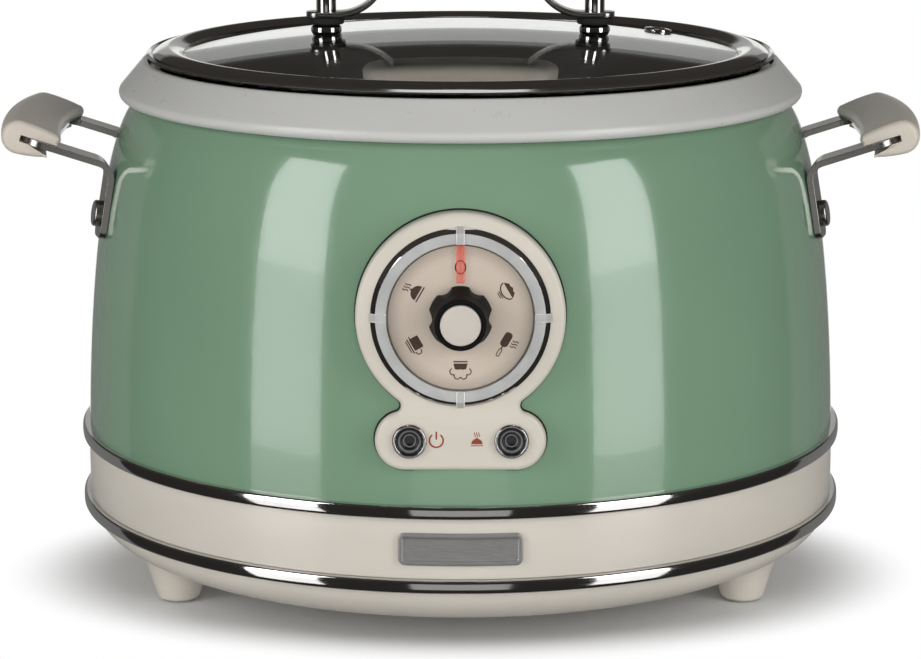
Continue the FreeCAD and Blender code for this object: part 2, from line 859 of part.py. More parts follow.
def make_sensor_spring():
    """An open coil between the floor of the housing and the underside of the button."""
    low = plate_under_z - housing_depth + housing_wall + spring_end_gap + spring_wire / 2
    high = plate_top_z - sensor_top - spring_end_gap - spring_wire / 2
    path = Part.makeHelix((high - low) / spring_turns, high - low, spring_radius)
    ring = Part.Wire(Part.makeCircle(spring_wire / 2, Vector(spring_radius, 0, 0), Vector(0, 1, 0)))
    coil = path.makePipeShell([ring], True, True)
    coil.translate(Vector(0, 0, low))
    return coil


def fuse_frame():
    return frame((0, fuse_circle_radius, plate_under_z), (1, 0, 0), (0, 1, 0), (0, 0, 1))


def make_thermal_fuse():
    rod = Part.makeCylinder(fuse_radius, fuse_length, Vector(-fuse_length / 2, 0, -fuse_radius - hole_gap),
                            Vector(1, 0, 0))
    return placed(rod, fuse_frame())


def make_fuse_clip():
    """A saddle that holds the fuse against the plate, with a flat tab each side."""
    axis_z = -fuse_radius - hole_gap
    inner, outer = fuse_radius + hole_gap, fuse_radius + hole_gap + clip_wall
    start = Vector(-clip_width / 2, 0, axis_z)
    saddle = Part.makeCylinder(outer, clip_width, start, Vector(1, 0, 0))
    saddle = saddle.fuse(box((-clip_width / 2, -outer, axis_z), (clip_width / 2, outer, 0)))
    tabs = box((-clip_width / 2, -outer - clip_tab, -clip_wall), (clip_width / 2, outer + clip_tab, 0))
    hollow = Part.makeCylinder(inner, clip_width, start, Vector(1, 0, 0))
    hollow = hollow.fuse(box((-clip_width / 2, -inner, axis_z), (clip_width / 2, inner, outer)))
    under = box((-clip_width / 2, -outer - clip_tab, axis_z - outer), (clip_width / 2, outer + clip_tab, 0))
    return placed(saddle.fuse(tabs).cut(hollow).common(under).removeSplitter(), fuse_frame())


# Side handles, made for the right side and mirrored

def leg_azimuth():
    return math.asin(arm_half_spacing / wall_radius(rivet_height))


def leg_frame(side):
    """Frame on the wall at a rivet: x along the wall, y up it, z straight out of it."""
    turn, lean, radius = side * leg_azimuth(), wall_lean(rivet_height), wall_radius(rivet_height)
    out = (math.cos(lean) * math.cos(turn), math.cos(lean) * math.sin(turn), math.sin(lean))
    along = (-math.sin(turn), math.cos(turn), 0)
    up = (-math.sin(lean) * math.cos(turn), -math.sin(lean) * math.sin(turn), math.cos(lean))
    return frame((radius * math.cos(turn), radius * math.sin(turn), rivet_height), along, up, out)


def grip_frame():
    """Frame of the bracket's flat blank: x outwards and up its slope."""
    slope = math.radians(arm_slope_deg)
    return frame((grip_reach, 0, grip_height), (math.cos(slope), 0, math.sin(slope)), (0, 1, 0),
                 (-math.sin(slope), 0, math.cos(slope)))


def bracket_blank():
    """The flat U of the bracket, long enough to reach into the wall."""
    half, depth = bracket_thickness / 2, grip_reach - shell_top_radius
    outer_y, inner_y = arm_half_spacing + arm_width / 2, arm_half_spacing - arm_width / 2
    out, corner = crossbar_out, crossbar_corner
    gap_x, inner = crossbar_out - crossbar_width, crossbar_inner_corner
    bend = 1 - math.sqrt(0.5)
    shape = Outline(-depth, -outer_y).line(out - corner, -outer_y)
    shape.arc((out - corner * bend, -outer_y + corner * bend), (out, -outer_y + corner))
    shape.line(out, outer_y - corner)
    shape.arc((out - corner * bend, outer_y - corner * bend), (out - corner, outer_y))
    shape.line(-depth, outer_y).line(-depth, inner_y).line(gap_x - inner, inner_y)
    shape.arc((gap_x - inner * bend, inner_y - inner * bend), (gap_x, inner_y - inner))
    shape.line(gap_x, -inner_y + inner)
    shape.arc((gap_x - inner * bend, -inner_y + inner * bend), (gap_x - inner, -inner_y))
    return placed(extruded(shape.line(-depth, -inner_y), -half, half), grip_frame())


def make_handle_bracket():
    """A stamped U whose two arms bend down flat against the wall, each with a rivet hole."""
    thick, reach = bracket_thickness, 2 * arm_half_spacing
    blank_place = grip_frame()
    above = placed(box((-reach, -reach, thick / 2), (reach, reach, reach)), blank_place)
    bracket = bracket_blank()
    for side in (-1, 1):
        place = leg_frame(side)
        inside = placed(box((-arm_width, -reach, -reach), (arm_width, reach, seat_gap)), place)
        bracket = bracket.cut(inside)
    for side in (-1, 1):
        place = leg_frame(side)
        slab = placed(box((-arm_width, -leg_below, seat_gap), (arm_width, reach, seat_gap + thick)), place)
        edges = sorted((side * (arm_half_spacing - arm_width / 2), side * (arm_half_spacing + arm_width / 2)))
        strip = box((0, edges[0], 0), (2 * grip_reach, edges[1], 2 * grip_height))
        bracket = bracket.fuse(slab.common(strip).cut(above))
    bracket = bracket.removeSplitter()
    to_blank = blank_place.inverse()
    to_legs = [(side, leg_frame(side).inverse()) for side in (-1, 1)]

    def crease(blank_height, leg_height):
        """Edges where a plane of the flat blank meets a plane of a leg."""
        found = []
        for side, to_leg in to_legs:
            found += edges_where(bracket, lambda e, m: abs(to_blank.multVec(m).z - blank_height) < 1e-4
                                 and abs(to_leg.multVec(m).z - leg_height) < 1e-4 and m.y * side > 0)
        return found

    corners = []
    for side, to_leg in to_legs:
        corners += edges_where(bracket, lambda e, m: e.Length < 2 * thick and m.y * side > 0
                               and abs(to_leg.multVec(m).z - seat_gap - thick / 2) < 1e-4
                               and abs(to_leg.multVec(m).y + leg_below) < 1e-4)
    bracket = bracket.makeFillet(leg_corner, corners)
    bracket = bracket.makeFillet(bend_inner_radius, crease(-thick / 2, seat_gap + thick))
    bracket = bracket.makeFillet(bend_inner_radius + thick, crease(thick / 2, seat_gap))
    hole = cylinder(rivet_shank_radius + hole_gap, 0, 2 * thick)
    return bracket.cut(Part.makeCompound([placed(hole, leg_frame(side)) for side in (-1, 1)]))


def make_rivets():
    """Flat round heads outside, a clinched tail inside the wall."""
    head_z = seat_gap + bracket_thickness
    tail_z = -shell_wall - seat_gap - 0.2
    edge = rivet_head_height / 3
    section = Outline(0, tail_z - rivet_tail_height).line(rivet_tail_radius, tail_z - rivet_tail_height)
    section.line(rivet_tail_radius, tail_z).line(rivet_shank_radius, tail_z).line(rivet_shank_radius, head_z)
    section.line(rivet_head_radius, head_z).line(rivet_head_radius, head_z + rivet_head_height - edge)
    section.arc((rivet_head_radius - edge * 0.3, head_z + rivet_head_height - edge * 0.3),
                (rivet_head_radius - edge, head_z + rivet_head_height))
    rivet = revolved(section.line(0, head_z + rivet_head_height))
    right = [placed(rivet, leg_frame(side)) for side in (-1, 1)]
    return right + [mirrored(one) for one in right]


def grip_section(shift, y):
    """One section of a grip at a place along it, as a wire: a C whose slot holds the crossbar."""
    nose, jaw, lower = grip_nose - shift, -grip_jaw - shift, -grip_lower_jaw - shift
    half = grip_half_height
    slot = bracket_thickness / 2 + seat_gap
    root = crossbar_out + seat_gap
    land = -grip_land
    shape = Outline(jaw + 1.0, slot).arc((jaw + 0.3, slot + 1.9), (jaw + 3.2, half - 0.9))
    shape.arc((jaw + 9.0, half - 0.2), (nose - half, half))
    shape.arc((nose, 0), (nose - half, -half))
    shape.arc((lower + 5.0, -half + 0.9), (lower, -grip_mouth_drop - 1.2))
    shape.arc((lower - 0.5, -grip_mouth_drop - 0.5), (lower + 0.1, -grip_mouth_drop))
    shape.arc(((lower + land) / 2, -(grip_mouth_drop + slot) / 2 - 0.3), (land, -slot))
    shape.line(root, -slot).line(root, slot)
    return shape.wire(lambda x, z: Vector(x, y, z))


def make_handle_grip():
    ends = [(grip_end_shift, -grip_half_length), (0.0, 0.0), (grip_end_shift, grip_half_length)]
    grip = Part.makeLoft([grip_section(shift, y) for shift, y in ends], True, False)
    return placed(grip, grip_frame())


# Control panel. Its frame has x to the right, y up the panel and z out of its face.

def panel_frame():
    tilt = math.radians(panel_tilt_deg)
    face = wall_radius(dial_height) + fascia_proud
    return frame((0, -face, dial_height), (1, 0, 0), (0, math.sin(tilt), math.cos(tilt)),
                 (0, -math.cos(tilt), math.sin(tilt)))


def keyhole(inset, low, high):
    """The panel's outline, a disc over a bar with round ends, drawn in by inset."""
    radius, half = fascia_radius - inset, bar_height / 2 - inset
    bar = extruded(rounded_rectangle(bar_width - 2 * inset, 2 * half, half - hole_gap), low, high)
    bar.translate(Vector(0, -bar_drop, 0))
    shape = cylinder(radius, low, high).fuse(bar).removeSplitter()
    bar_top = half - bar_drop
    necks = edges_where(shape, lambda e, m: abs(m.y - bar_top) < 1e-3
                        and abs(math.hypot(m.x, m.y) - radius) < 1e-3
                        and abs(m.z - (low + high) / 2) < 1e-3)
    return shape.makeFillet(neck_round + inset, necks) if necks else shape


def lamp_places():
    return [(side * lamp_spacing / 2, -bar_drop) for side in (-1, 1)]


def boss_places():
    upper = [(side * boss_upper, boss_upper) for side in (-1, 1)]
    return upper + [(side * boss_lower, -bar_drop) for side in (-1, 1)]


def make_control_fascia():
    pod = keyhole(0, -fascia_reach, 0)
    face_edges = edges_where(pod, lambda e, m: abs(m.z) < 1e-6)
    pod = pod.makeFillet(fascia_edge_round, face_edges)
    fascia = placed(pod, panel_frame()).cut(wall_core(seat_gap))
    plug = keyhole(window_inset + fit_gap, -plug_depth, -fascia_edge_round)
    plug = plug.cut(keyhole(window_inset + fit_gap + fascia_wall, -plug_depth, -fascia_skin))
    bosses = [cylinder(boss_radius, -board_depth, -fascia_skin, x, y) for x, y in boss_places()]
    fascia = fascia.fuse(placed(plug.multiFuse(bosses), panel_frame()))
    lamp_hole = lamp_lens_radius + hole_gap + bezel_wall + hole_gap
    cuts = [cylinder(dial_radius + dial_gap, -pocket_depth, 1)]
    cuts.append(cylinder(shaft_radius + run_gap, -plug_depth, 1))
    cuts += [cylinder(lamp_hole, -plug_depth, 1, x, y) for x, y in lamp_places()]
    cuts += [cylinder(board_screw_radius + hole_gap, -board_depth, -board_depth + board_screw_length, x, y)
             for x, y in boss_places()]
    return fascia.cut(placed(Part.makeCompound(cuts), panel_frame())).removeSplitter()


def ring_section(extra):
    """The dial ring's section, stood up by extra."""
    inner, outer = dial_radius + dial_gap, dial_ring_radius + extra
    high = dial_ring_height + extra
    section = Outline(inner, 0).line(outer, 0).line(outer, dial_ring_edge)
    return section.line(outer - dial_ring_bevel, high).line(inner, high)


def cursor_strip(gap):
    """The red strip, from the ring inwards to just short of the knob, grown by gap."""
    low, high = knob_base_radius + cursor_knob_gap - gap, dial_radius + dial_gap + cursor_bite + gap
    half = cursor_width / 2 + gap
    return box((-half, low, cursor_front - cursor_thickness - gap), (half, high, cursor_front + gap))


def make_dial_ring():
    half, reach = bridge_width / 2, 2 * dial_ring_radius
    cross = box((-half, -reach, 0), (half, reach, reach)).fuse(box((-reach, -half, 0), (reach, half, reach)))
    ring = revolved(ring_section(0)).fuse(revolved(ring_section(bridge_rise)).common(cross))
    return placed(ring.cut(cursor_strip(hole_gap)).removeSplitter(), panel_frame())


def make_dial_cursor():
    return placed(cursor_strip(0), panel_frame())


def make_dial_disc():
    """A shallow dished disc with a raised rim."""
    bore = shaft_radius + hole_gap
    section = Outline(bore, -dial_back).line(dial_radius, -dial_back).line(dial_radius, dial_rim_front)
    section.line(dial_radius - dial_rim_width, dial_rim_front).line(knob_base_radius, dial_face_front)
    return placed(revolved(section.line(bore, dial_face_front)), panel_frame())


def make_selector_knob():
    """A tapered knob with scalloped sides and a recess for its cap."""
    base = dial_face_front + seat_gap
    bore = shaft_radius + hole_gap
    recess = knob_rim_radius - knob_rim_wall
    recess_z = knob_front - cap_recess
    section = Outline(bore, base).line(knob_base_radius, base).line(knob_base_radius, base + knob_base_height)
    section.line(knob_waist_radius, knob_waist_front).line(knob_rim_radius, knob_front - cap_edge_round)
    section.line(knob_rim_radius - cap_edge_round, knob_front).line(recess, knob_front).line(recess, recess_z)
    section.line(0, recess_z).line(0, shaft_front + hole_gap).line(bore, shaft_front + hole_gap)
    knob = revolved(section)
    flute_x = knob_base_radius - flute_depth + flute_radius
    flutes = [cylinder(flute_radius, 0, knob_front, *on_circle(flute_x, angle))
              for angle in ring_of(flute_count)]
    return placed(knob.cut(Part.makeCompound(flutes)), panel_frame())


def make_knob_cap():
    """A slightly domed disc with a soft edge."""
    radius = knob_rim_radius - knob_rim_wall - seat_gap
    low, edge = knob_front - cap_recess + seat_gap, cap_edge_round
    brow = cap_front - cap_dome
    crown = radius - edge
    ball = (crown ** 2 + cap_dome ** 2) / (2 * cap_dome)
    half = crown / 2
    section = Outline(0, low).line(radius, low).line(radius, brow - edge)
    section.arc((radius - edge * 0.3, brow - edge * 0.3), (crown, brow))
    section.arc((half, cap_front - ball + math.sqrt(ball ** 2 - half ** 2)), (0, cap_front))
    return placed(revolved(section), panel_frame())


def make_selector_shaft():
    return placed(cylinder(shaft_radius, -board_depth + shaft_foot, shaft_front), panel_frame())


def make_selector_switch():
    half, front = switch_width / 2, -board_depth + switch_depth
    body = box((-half, -half, -board_depth), (half, half, front))
    uprights = edges_where(body, lambda e, m: abs(abs(m.x) - half) < 1e-6 and abs(abs(m.y) - half) < 1e-6)
    body = body.makeChamfer(switch_chamfer, uprights)
    body = body.fuse(cylinder(bushing_radius, front, front + bushing_height))
    bore = cylinder(shaft_radius + run_gap, -board_depth + shaft_foot - rest_gap, front + bushing_height)
    return placed(body.cut(bore), panel_frame())


def make_control_board():
    back = -board_depth - board_thickness
    board = box((-board_width / 2, -board_bottom, back), (board_width / 2, board_top, -board_depth))
    holes = [cylinder(board_screw_radius + hole_gap, back, -board_depth, x, y) for x, y in boss_places()]
    return placed(board.cut(Part.makeCompound(holes)), panel_frame())


def make_board_screws():
    back = -board_depth - board_thickness
    tip = -board_depth + board_screw_length - board_screw_end_gap
    screws = []
    for x, y in boss_places():
        head = cylinder(board_screw_head_radius, back - board_screw_head_height, back, x, y)
        screws.append(placed(head.fuse(cylinder(board_screw_radius, back, tip, x, y)), panel_frame()))
    return screws


def at_lamp(solid, index):
    x, y = lamp_places()[index]
    moved = solid.copy()
    moved.translate(Vector(x, y, 0))
    return placed(moved, panel_frame())


def make_lamp_bezel(index):
    bore = lamp_lens_radius + hole_gap
    tube = bore + bezel_wall
    flange = tube + bezel_flange
    section = Outline(bore, -bezel_reach).line(tube, -bezel_reach).line(tube, 0).line(flange, 0)
    section.line(flange, bezel_height / 2).line(flange - bezel_flange / 2, bezel_height)
    section.line(bore + bezel_wall / 2, bezel_height).line(bore, bezel_height - bezel_wall)
    return at_lamp(revolved(section), index)


def make_lamp_lens(index):
    """A dark lens with a stepped, hollowed face and a stalk that reaches the board."""
    section = Outline(0, -board_depth + rest_gap).line(lens_stalk_radius, -board_depth + rest_gap)
    section.line(lens_stalk_radius, -bezel_reach).line(lamp_lens_radius, -bezel_reach)
    section.line(lamp_lens_radius, lens_front)
    radius, height = lamp_lens_radius, lens_front
    for _ in range(3):
        radius -= lens_step_in
        section.line(radius, height)
        height -= lens_step_down
        section.line(radius, height)
    return at_lamp(revolved(section.line(0, height)), index)


# Inlet at the rear. Its frame has z pointing out of the back.

def inlet_frame():
    return frame((0, wall_radius(inlet_height) + inlet_proud, inlet_height), (-1, 0, 0), (0, 0, 1), (0, 1, 0))


def inlet_block(width, tall, low, high):
    return extruded(rounded_rectangle(width, tall, inlet_corner), low, high)


def pin_blocks(gap):
    blocks = []
    for column in (-1, 0, 1):
        x, y = column * pin_pitch, -pin_raise if column else pin_raise
        wide, tall = pin_thickness / 2 + gap, pin_width / 2 + gap
        blocks.append(box((x - wide, y - tall, -inlet_depth - pin_tail), (x + wide, y + tall, -pin_set_back)))
    return blocks


def make_inlet_socket():
    flange = inlet_block(inlet_width + 2 * inlet_flange, inlet_tall + 2 * inlet_flange, -inlet_depth, 0)
    flange = placed(flange, inlet_frame()).cut(wall_core(seat_gap))
    body = inlet_block(inlet_width, inlet_tall, -inlet_depth, -inlet_proud / 2)
    socket = flange.fuse(placed(body, inlet_frame()))
    cavity = inlet_block(cavity_width, cavity_tall, -cavity_depth, 1)
    cuts = Part.makeCompound([cavity] + pin_blocks(hole_gap))
    return socket.cut(placed(cuts, inlet_frame())).removeSplitter()


def make_inlet_pins():
    return [placed(block, inlet_frame()) for block in pin_blocks(0)]


# Lid

def dome_z(radius):
    """Height of the glass's upper face at a radius."""
    return dome_centre_z + math.sqrt(dome_radius ** 2 - radius ** 2)


def dome_frame(x, y):
    """Frame on the glass's upper face: x down the slope, y across it, z straight out of it."""
    radius = math.hypot(x, y)
    tilt, turn = math.asin(radius / dome_radius), math.atan2(y, x)
    out = (math.sin(tilt) * math.cos(turn), math.sin(tilt) * math.sin(turn), math.cos(tilt))
    along = (math.cos(tilt) * math.cos(turn), math.cos(tilt) * math.sin(turn), -math.sin(tilt))
    across = (-math.sin(turn), math.cos(turn), 0)
    return frame((x, y, dome_z(radius)), along, across, out)


def make_lid_glass():
    edge = lid_rim_inner + glass_bite
    inner = dome_radius - glass_thickness
    edge_z, under_z = dome_z(edge), dome_centre_z + math.sqrt(inner ** 2 - edge ** 2)
    half = edge / 2
    section = Outline(0, dome_centre_z + inner)
    section.arc((half, dome_centre_z + math.sqrt(inner ** 2 - half ** 2)), (edge, under_z))
    section.line(edge, edge_z).arc((half, dome_z(half)), (0, glass_top_z))
    glass = revolved(section)
    cuts = [cylinder(lid_screw_radius + hole_gap, pot_floor_z, glass_top_z, side * lid_post_x)
            for side in (-1, 1)]
    vent_hole = cylinder(vent_tube_radius + hole_gap, -2 * glass_thickness, glass_thickness)
    cuts.append(placed(vent_hole, dome_frame(vent_x, vent_y)))
    return glass.cut(Part.makeCompound(cuts))


def make_lid_rim():
    """A polished channel round the edge of the glass, with a crest, an outer flange and a short skirt."""
    skirt = pot_mouth_radius - lid_skirt_gap
    crest_z = lid_seat_z + lid_crest_rise - rest_gap
    edge = lid_rim_inner + glass_bite + hole_gap
    inner = dome_radius - glass_thickness
    glass_low = dome_centre_z + math.sqrt(inner ** 2 - lid_rim_inner ** 2) - hole_gap
    edge_low = dome_centre_z + math.sqrt(inner ** 2 - edge ** 2) - hole_gap
    low = edge_low - lid_skirt_wall
    outer_mid = ((lid_rim_radius + lid_crest_radius) / 2 + 0.4, crest_z - 1.0)
    inner_mid = ((lid_rim_inner + lid_crest_radius) / 2, crest_z - 0.55)
    section = Outline(skirt, lid_seat_z).line(lid_rim_radius, lid_seat_z)
    section.line(lid_rim_radius, lid_seat_z + lid_rim_edge)
    section.arc(outer_mid, (lid_crest_radius, crest_z))
    section.arc(inner_mid, (lid_rim_inner, dome_z(lid_rim_inner) + 0.45))
    section.line(lid_rim_inner, dome_z(lid_rim_inner) + hole_gap).line(edge, dome_z(edge) + hole_gap)
    section.line(edge, edge_low).line(lid_rim_inner, glass_low).line(lid_rim_inner, low)
    return revolved(section.line(skirt, low))


def make_lid_vent():
    """A rolled eyelet through the glass that lets steam out."""
    top, under = vent_flange_height + seat_gap, -glass_thickness - seat_gap
    foot = vent_tube_radius + vent_foot
    section = Outline(vent_bore_radius, under - 1.0).line(foot, under - 1.0)
    section.line(foot, under).line(vent_tube_radius, under).line(vent_tube_radius, seat_gap)
    section.line(vent_flange_radius, seat_gap).arc((vent_flange_radius - 0.8, top - 0.3),
                                                   (vent_tube_radius + 0.6, top))
    section.arc((vent_bore_radius + 0.5, top - 0.3), (vent_bore_radius, seat_gap))
    return placed(revolved(section), dome_frame(vent_x, vent_y))


def strap_low_z():
    return dome_z(lid_post_x) + ferrule_height + washer_height


def strap_solid(gap):
    """The strap bent from a flat bar: two feet, two rising arms and a top run, grown by gap."""
    half = strap_thickness / 2
    angle = math.radians(strap_angle_deg)
    low = strap_low_z() + half
    start = lid_post_x - strap_bend_start
    lower, upper = strap_lower_bend, strap_upper_bend

    def side(offset):
        """Points of one face of the right half, from the foot inwards, offset up from the middle."""
        r1, r2 = lower - offset, upper + offset
        centre1 = (start, low + lower)
        first = (start, low + offset)
        second = (centre1[0] - r1 * math.sin(angle), centre1[1] - r1 * math.cos(angle))
        first_mid = (centre1[0] - r1 * math.sin(angle / 2), centre1[1] - r1 * math.cos(angle / 2))
        rise = strap_rise - (lower + upper) * (1 - math.cos(angle))
        run = rise / math.tan(angle) + (lower + upper) * math.sin(angle)
        centre2 = (start - run, low + strap_rise - upper)
        third = (centre2[0] + r2 * math.sin(angle), centre2[1] + r2 * math.cos(angle))
        third_mid = (centre2[0] + r2 * math.sin(angle / 2), centre2[1] + r2 * math.cos(angle / 2))
        return first, first_mid, second, third, third_mid, (centre2[0], centre2[1] + r2)

    end = lid_post_x + strap_overhang + gap
    top, under = side(half + gap), side(-half - gap)

    def flip(point):
        return -point[0], point[1]

    shape = Outline(end, top[0][1]).line(*top[0]).arc(top[1], top[2]).line(*top[3]).arc(top[4], top[5])
    shape.line(*flip(top[5])).arc(flip(top[4]), flip(top[3]))
    shape.line(*flip(top[2])).arc(flip(top[1]), flip(top[0]))
    shape.line(-end, top[0][1]).line(-end, under[0][1]).line(*flip(under[0]))
    shape.arc(flip(under[1]), flip(under[2])).line(*flip(under[3])).arc(flip(under[4]), flip(under[5]))
    shape.line(*under[5]).arc(under[4], under[3]).line(*under[2]).arc(under[1], under[0])
    wire = shape.line(end, under[0][1]).upright()
    wide = strap_width + 2 * gap
    solid = Part.Face(wire).extrude(Vector(0, wide, 0))
    solid.translate(Vector(0, -wide / 2, 0))
    return solid


def make_lid_strap():
    strap = strap_solid(0)
    ends = edges_where(strap, lambda e, m: abs(abs(m.x) - lid_post_x - strap_overhang) < 1e-6
                       and abs(abs(m.y) - strap_width / 2) < 1e-6)
    strap = strap.makeFillet(strap_width / 2 - 1.0, ends)
    high = strap_low_z() + 2 * strap_thickness
    holes = [cylinder(lid_screw_radius + hole_gap, glass_top_z, high, side * lid_post_x) for side in (-1, 1)]
    return strap.cut(Part.makeCompound(holes))


def make_lid_grip():
    """A soft bar moulded round the top run of the strap."""
    middle = strap_low_z() + strap_thickness / 2 + strap_rise
    x, y = lid_grip_length / 2, lid_grip_width / 2
    bar = extruded(rounded_rectangle(2 * x, 2 * y, lid_grip_corner), middle - lid_grip_below,
                   middle + lid_grip_above)
    low, high = bar.BoundBox.ZMin, bar.BoundBox.ZMax
    rims = edges_where(bar, lambda e, m: abs(m.z - low) < 1e-6 or abs(m.z - high) < 1e-6)
    return bar.makeFillet(lid_grip_round, rims).cut(strap_solid(seat_gap))


def at_posts(section):
    """The revolved section at both posts of the lid handle."""
    solid = revolved(section)
    copies = []
    for side in (-1, 1):
        moved = solid.copy()
        moved.translate(Vector(side * lid_post_x, 0, 0))
        copies.append(moved)
    return copies


def make_lid_ferrules():
    high = dome_z(lid_post_x) + ferrule_height
    bore = lid_screw_radius + hole_gap
    foot = dome_z(lid_post_x + ferrule_foot_radius)
    section = Outline(bore, foot).line(ferrule_foot_radius - 1.2, foot).line(ferrule_foot_radius, foot + 1.6)
    section.line(ferrule_foot_radius, high - 1.2).line(ferrule_radius, high).line(bore, high)
    reach = 2 * ferrule_foot_radius
    under = box((-reach, -reach, -reach), (reach, reach, seat_gap))
    return [one.cut(placed(under, dome_frame(one.CenterOfMass.x, 0))) for one in at_posts(section)]


def make_lid_washers():
    low = dome_z(lid_post_x) + ferrule_height
    bore, high, edge = lid_screw_radius + hole_gap, low + washer_height, washer_height / 4
    section = Outline(bore, low).line(washer_radius - edge, low).line(washer_radius, low + edge)
    section.line(washer_radius, high - edge).line(washer_radius - edge, high)
    return at_posts(section.line(bore, high))


def make_lid_nuts():
    low = strap_low_z() + strap_thickness
    bore, high, edge = lid_screw_radius + hole_gap, low + lid_nut_height, lid_nut_radius / 4
    section = Outline(bore, low).line(lid_nut_radius, low).line(lid_nut_radius, high - edge)
    section.arc((lid_nut_radius - edge * 0.3, high - edge * 0.3), (lid_nut_radius - edge, high))
    under = high - lid_nut_cap
    return at_posts(section.line(0, high).line(0, under).line(bore, under))


def glass_under_z():
    """Lowest place of the glass's lower face under a lid screw's gasket."""
    inner = dome_radius - glass_thickness
    return dome_centre_z + math.sqrt(inner ** 2 - (lid_post_x + gasket_radius) ** 2) - seat_gap


def make_lid_gaskets():
    high = glass_under_z()
    bore = lid_screw_radius + hole_gap
    section = Outline(bore, high - gasket_height).line(gasket_radius, high - gasket_height)
    return at_posts(section.line(gasket_radius, high).line(bore, high))


def make_lid_screws():
    head_z = glass_under_z() - gasket_height
    tip = strap_low_z() + strap_thickness + lid_nut_height - lid_nut_cap - hole_gap
    low, edge = head_z - lid_screw_head_height, lid_screw_head_height / 2
    section = Outline(0, low).line(lid_screw_head_radius - edge, low).line(lid_screw_head_radius, low + edge)
    section.line(lid_screw_head_radius, head_z).line(lid_screw_radius, head_z).line(lid_screw_radius, tip)
    return at_posts(section.line(0, tip))


def build():
    """Every node's name with its solid, or its list of solids."""
    bracket, grip = make_handle_bracket(), make_handle_grip()
    return {
        "base_pan": make_base_pan(),
        "foot_pads": make_foot_pads(),
        "lower_trim_ring": make_trim_ring(lower_ring_z),
        "base_band": make_base_band(),
        "upper_trim_ring": make_trim_ring(upper_ring_z),
        "base_screws": make_base_screws(),
        "base_nuts": make_base_nuts(),
        "badge_plate": make_badge_plate(),
        "outer_shell": make_outer_shell(),
        "top_collar": make_top_collar(),
        "pot_liner": make_pot_liner(),
        "heating_plate": make_heating_plate(),
        "heating_element": make_heating_element(),
        "plate_posts": make_plate_posts(),
        "post_nuts": make_post_nuts(),
        "sensor_cap": make_sensor_cap(),
        "sensor_housing": make_sensor_housing(),
        "sensor_spring": make_sensor_spring(),
        "thermal_fuse": make_thermal_fuse(),
        "fuse_clip": make_fuse_clip(),
        "right_handle_bracket": bracket,
        "left_handle_bracket": mirrored(bracket),
        "right_handle_grip": grip,
        "left_handle_grip": mirrored(grip),
        "handle_rivets": make_rivets(),
        "control_fascia": make_control_fascia(),
        "dial_ring": make_dial_ring(),
        "dial_cursor": make_dial_cursor(),
        "dial_disc": make_dial_disc(),
        "selector_knob": make_selector_knob(),
        "knob_cap": make_knob_cap(),
        "selector_shaft": make_selector_shaft(),
        "selector_switch": make_selector_switch(),
        "control_board": make_control_board(),
        "board_screws": make_board_screws(),
        "left_lamp_bezel": make_lamp_bezel(0),
        "right_lamp_bezel": make_lamp_bezel(1),
        "left_lamp_lens": make_lamp_lens(0),
        "right_lamp_lens": make_lamp_lens(1),
        "inlet_socket": make_inlet_socket(),
        "inlet_pins": make_inlet_pins(),
        "cooking_pot": make_cooking_pot(),
        "lid_glass": make_lid_glass(),
        "lid_rim": make_lid_rim(),
        "lid_vent": make_lid_vent(),
        "lid_strap": make_lid_strap(),
        "lid_grip": make_lid_grip(),
        "lid_ferrules": make_lid_ferrules(),
        "lid_washers": make_lid_washers(),
        "lid_nuts": make_lid_nuts(),
        "lid_gaskets": make_lid_gaskets(),
        "lid_screws": make_lid_screws(),
    }


def middle_shift():
    """How far the whole cooker moves back, so that the origin is under the middle of its outline."""
    front = wall_radius(dial_height) + fascia_proud + cap_front * math.cos(math.radians(panel_tilt_deg))
    rear = max(ring_radius, wall_radius(inlet_height) + inlet_proud)
    return (front - rear) / 2


os.makedirs("parts", exist_ok=True)
for node, solid in build().items():
    shape = Part.makeCompound(solid) if isinstance(solid, list) else solid
    shape.translate(Vector(0, middle_shift(), 0))
    shape.exportStep(f"parts/{node}.step")
    size = shape.BoundBox
    print(f"{node}: {len(shape.Solids)} solids, valid {shape.isValid()}, {shape.Volume / 1000:.2f} cm3, "
          f"z {size.ZMin:.2f} to {size.ZMax:.2f}")
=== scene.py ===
"""Round retro slow cooker: the looks of its pieces, its stage and its camera, laid out as an add-on."""

import json

import bmesh
import bpy
import numpy as np
from bpy.props import FloatProperty, FloatVectorProperty, PointerProperty
from mathutils import Matrix, Vector, geometry


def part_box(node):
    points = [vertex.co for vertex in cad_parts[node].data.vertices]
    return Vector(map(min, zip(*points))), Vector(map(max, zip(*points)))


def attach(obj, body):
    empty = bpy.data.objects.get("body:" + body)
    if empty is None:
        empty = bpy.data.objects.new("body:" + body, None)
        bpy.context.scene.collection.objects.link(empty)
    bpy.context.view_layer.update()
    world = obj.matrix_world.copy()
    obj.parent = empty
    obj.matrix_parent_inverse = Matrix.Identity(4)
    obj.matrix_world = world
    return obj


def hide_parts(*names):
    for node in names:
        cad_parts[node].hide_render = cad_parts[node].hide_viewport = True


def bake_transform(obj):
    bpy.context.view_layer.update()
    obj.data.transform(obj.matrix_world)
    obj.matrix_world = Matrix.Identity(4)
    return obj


bl_info = {
    "name": "Slow Cooker",
    "version": (1, 0, 0),
    "blender": (4, 5, 0),
    "location": "3D View > Sidebar > Cooker",
    "description": "Builds the visible pieces of a round slow cooker round its solid model",
    "category": "Object",
}

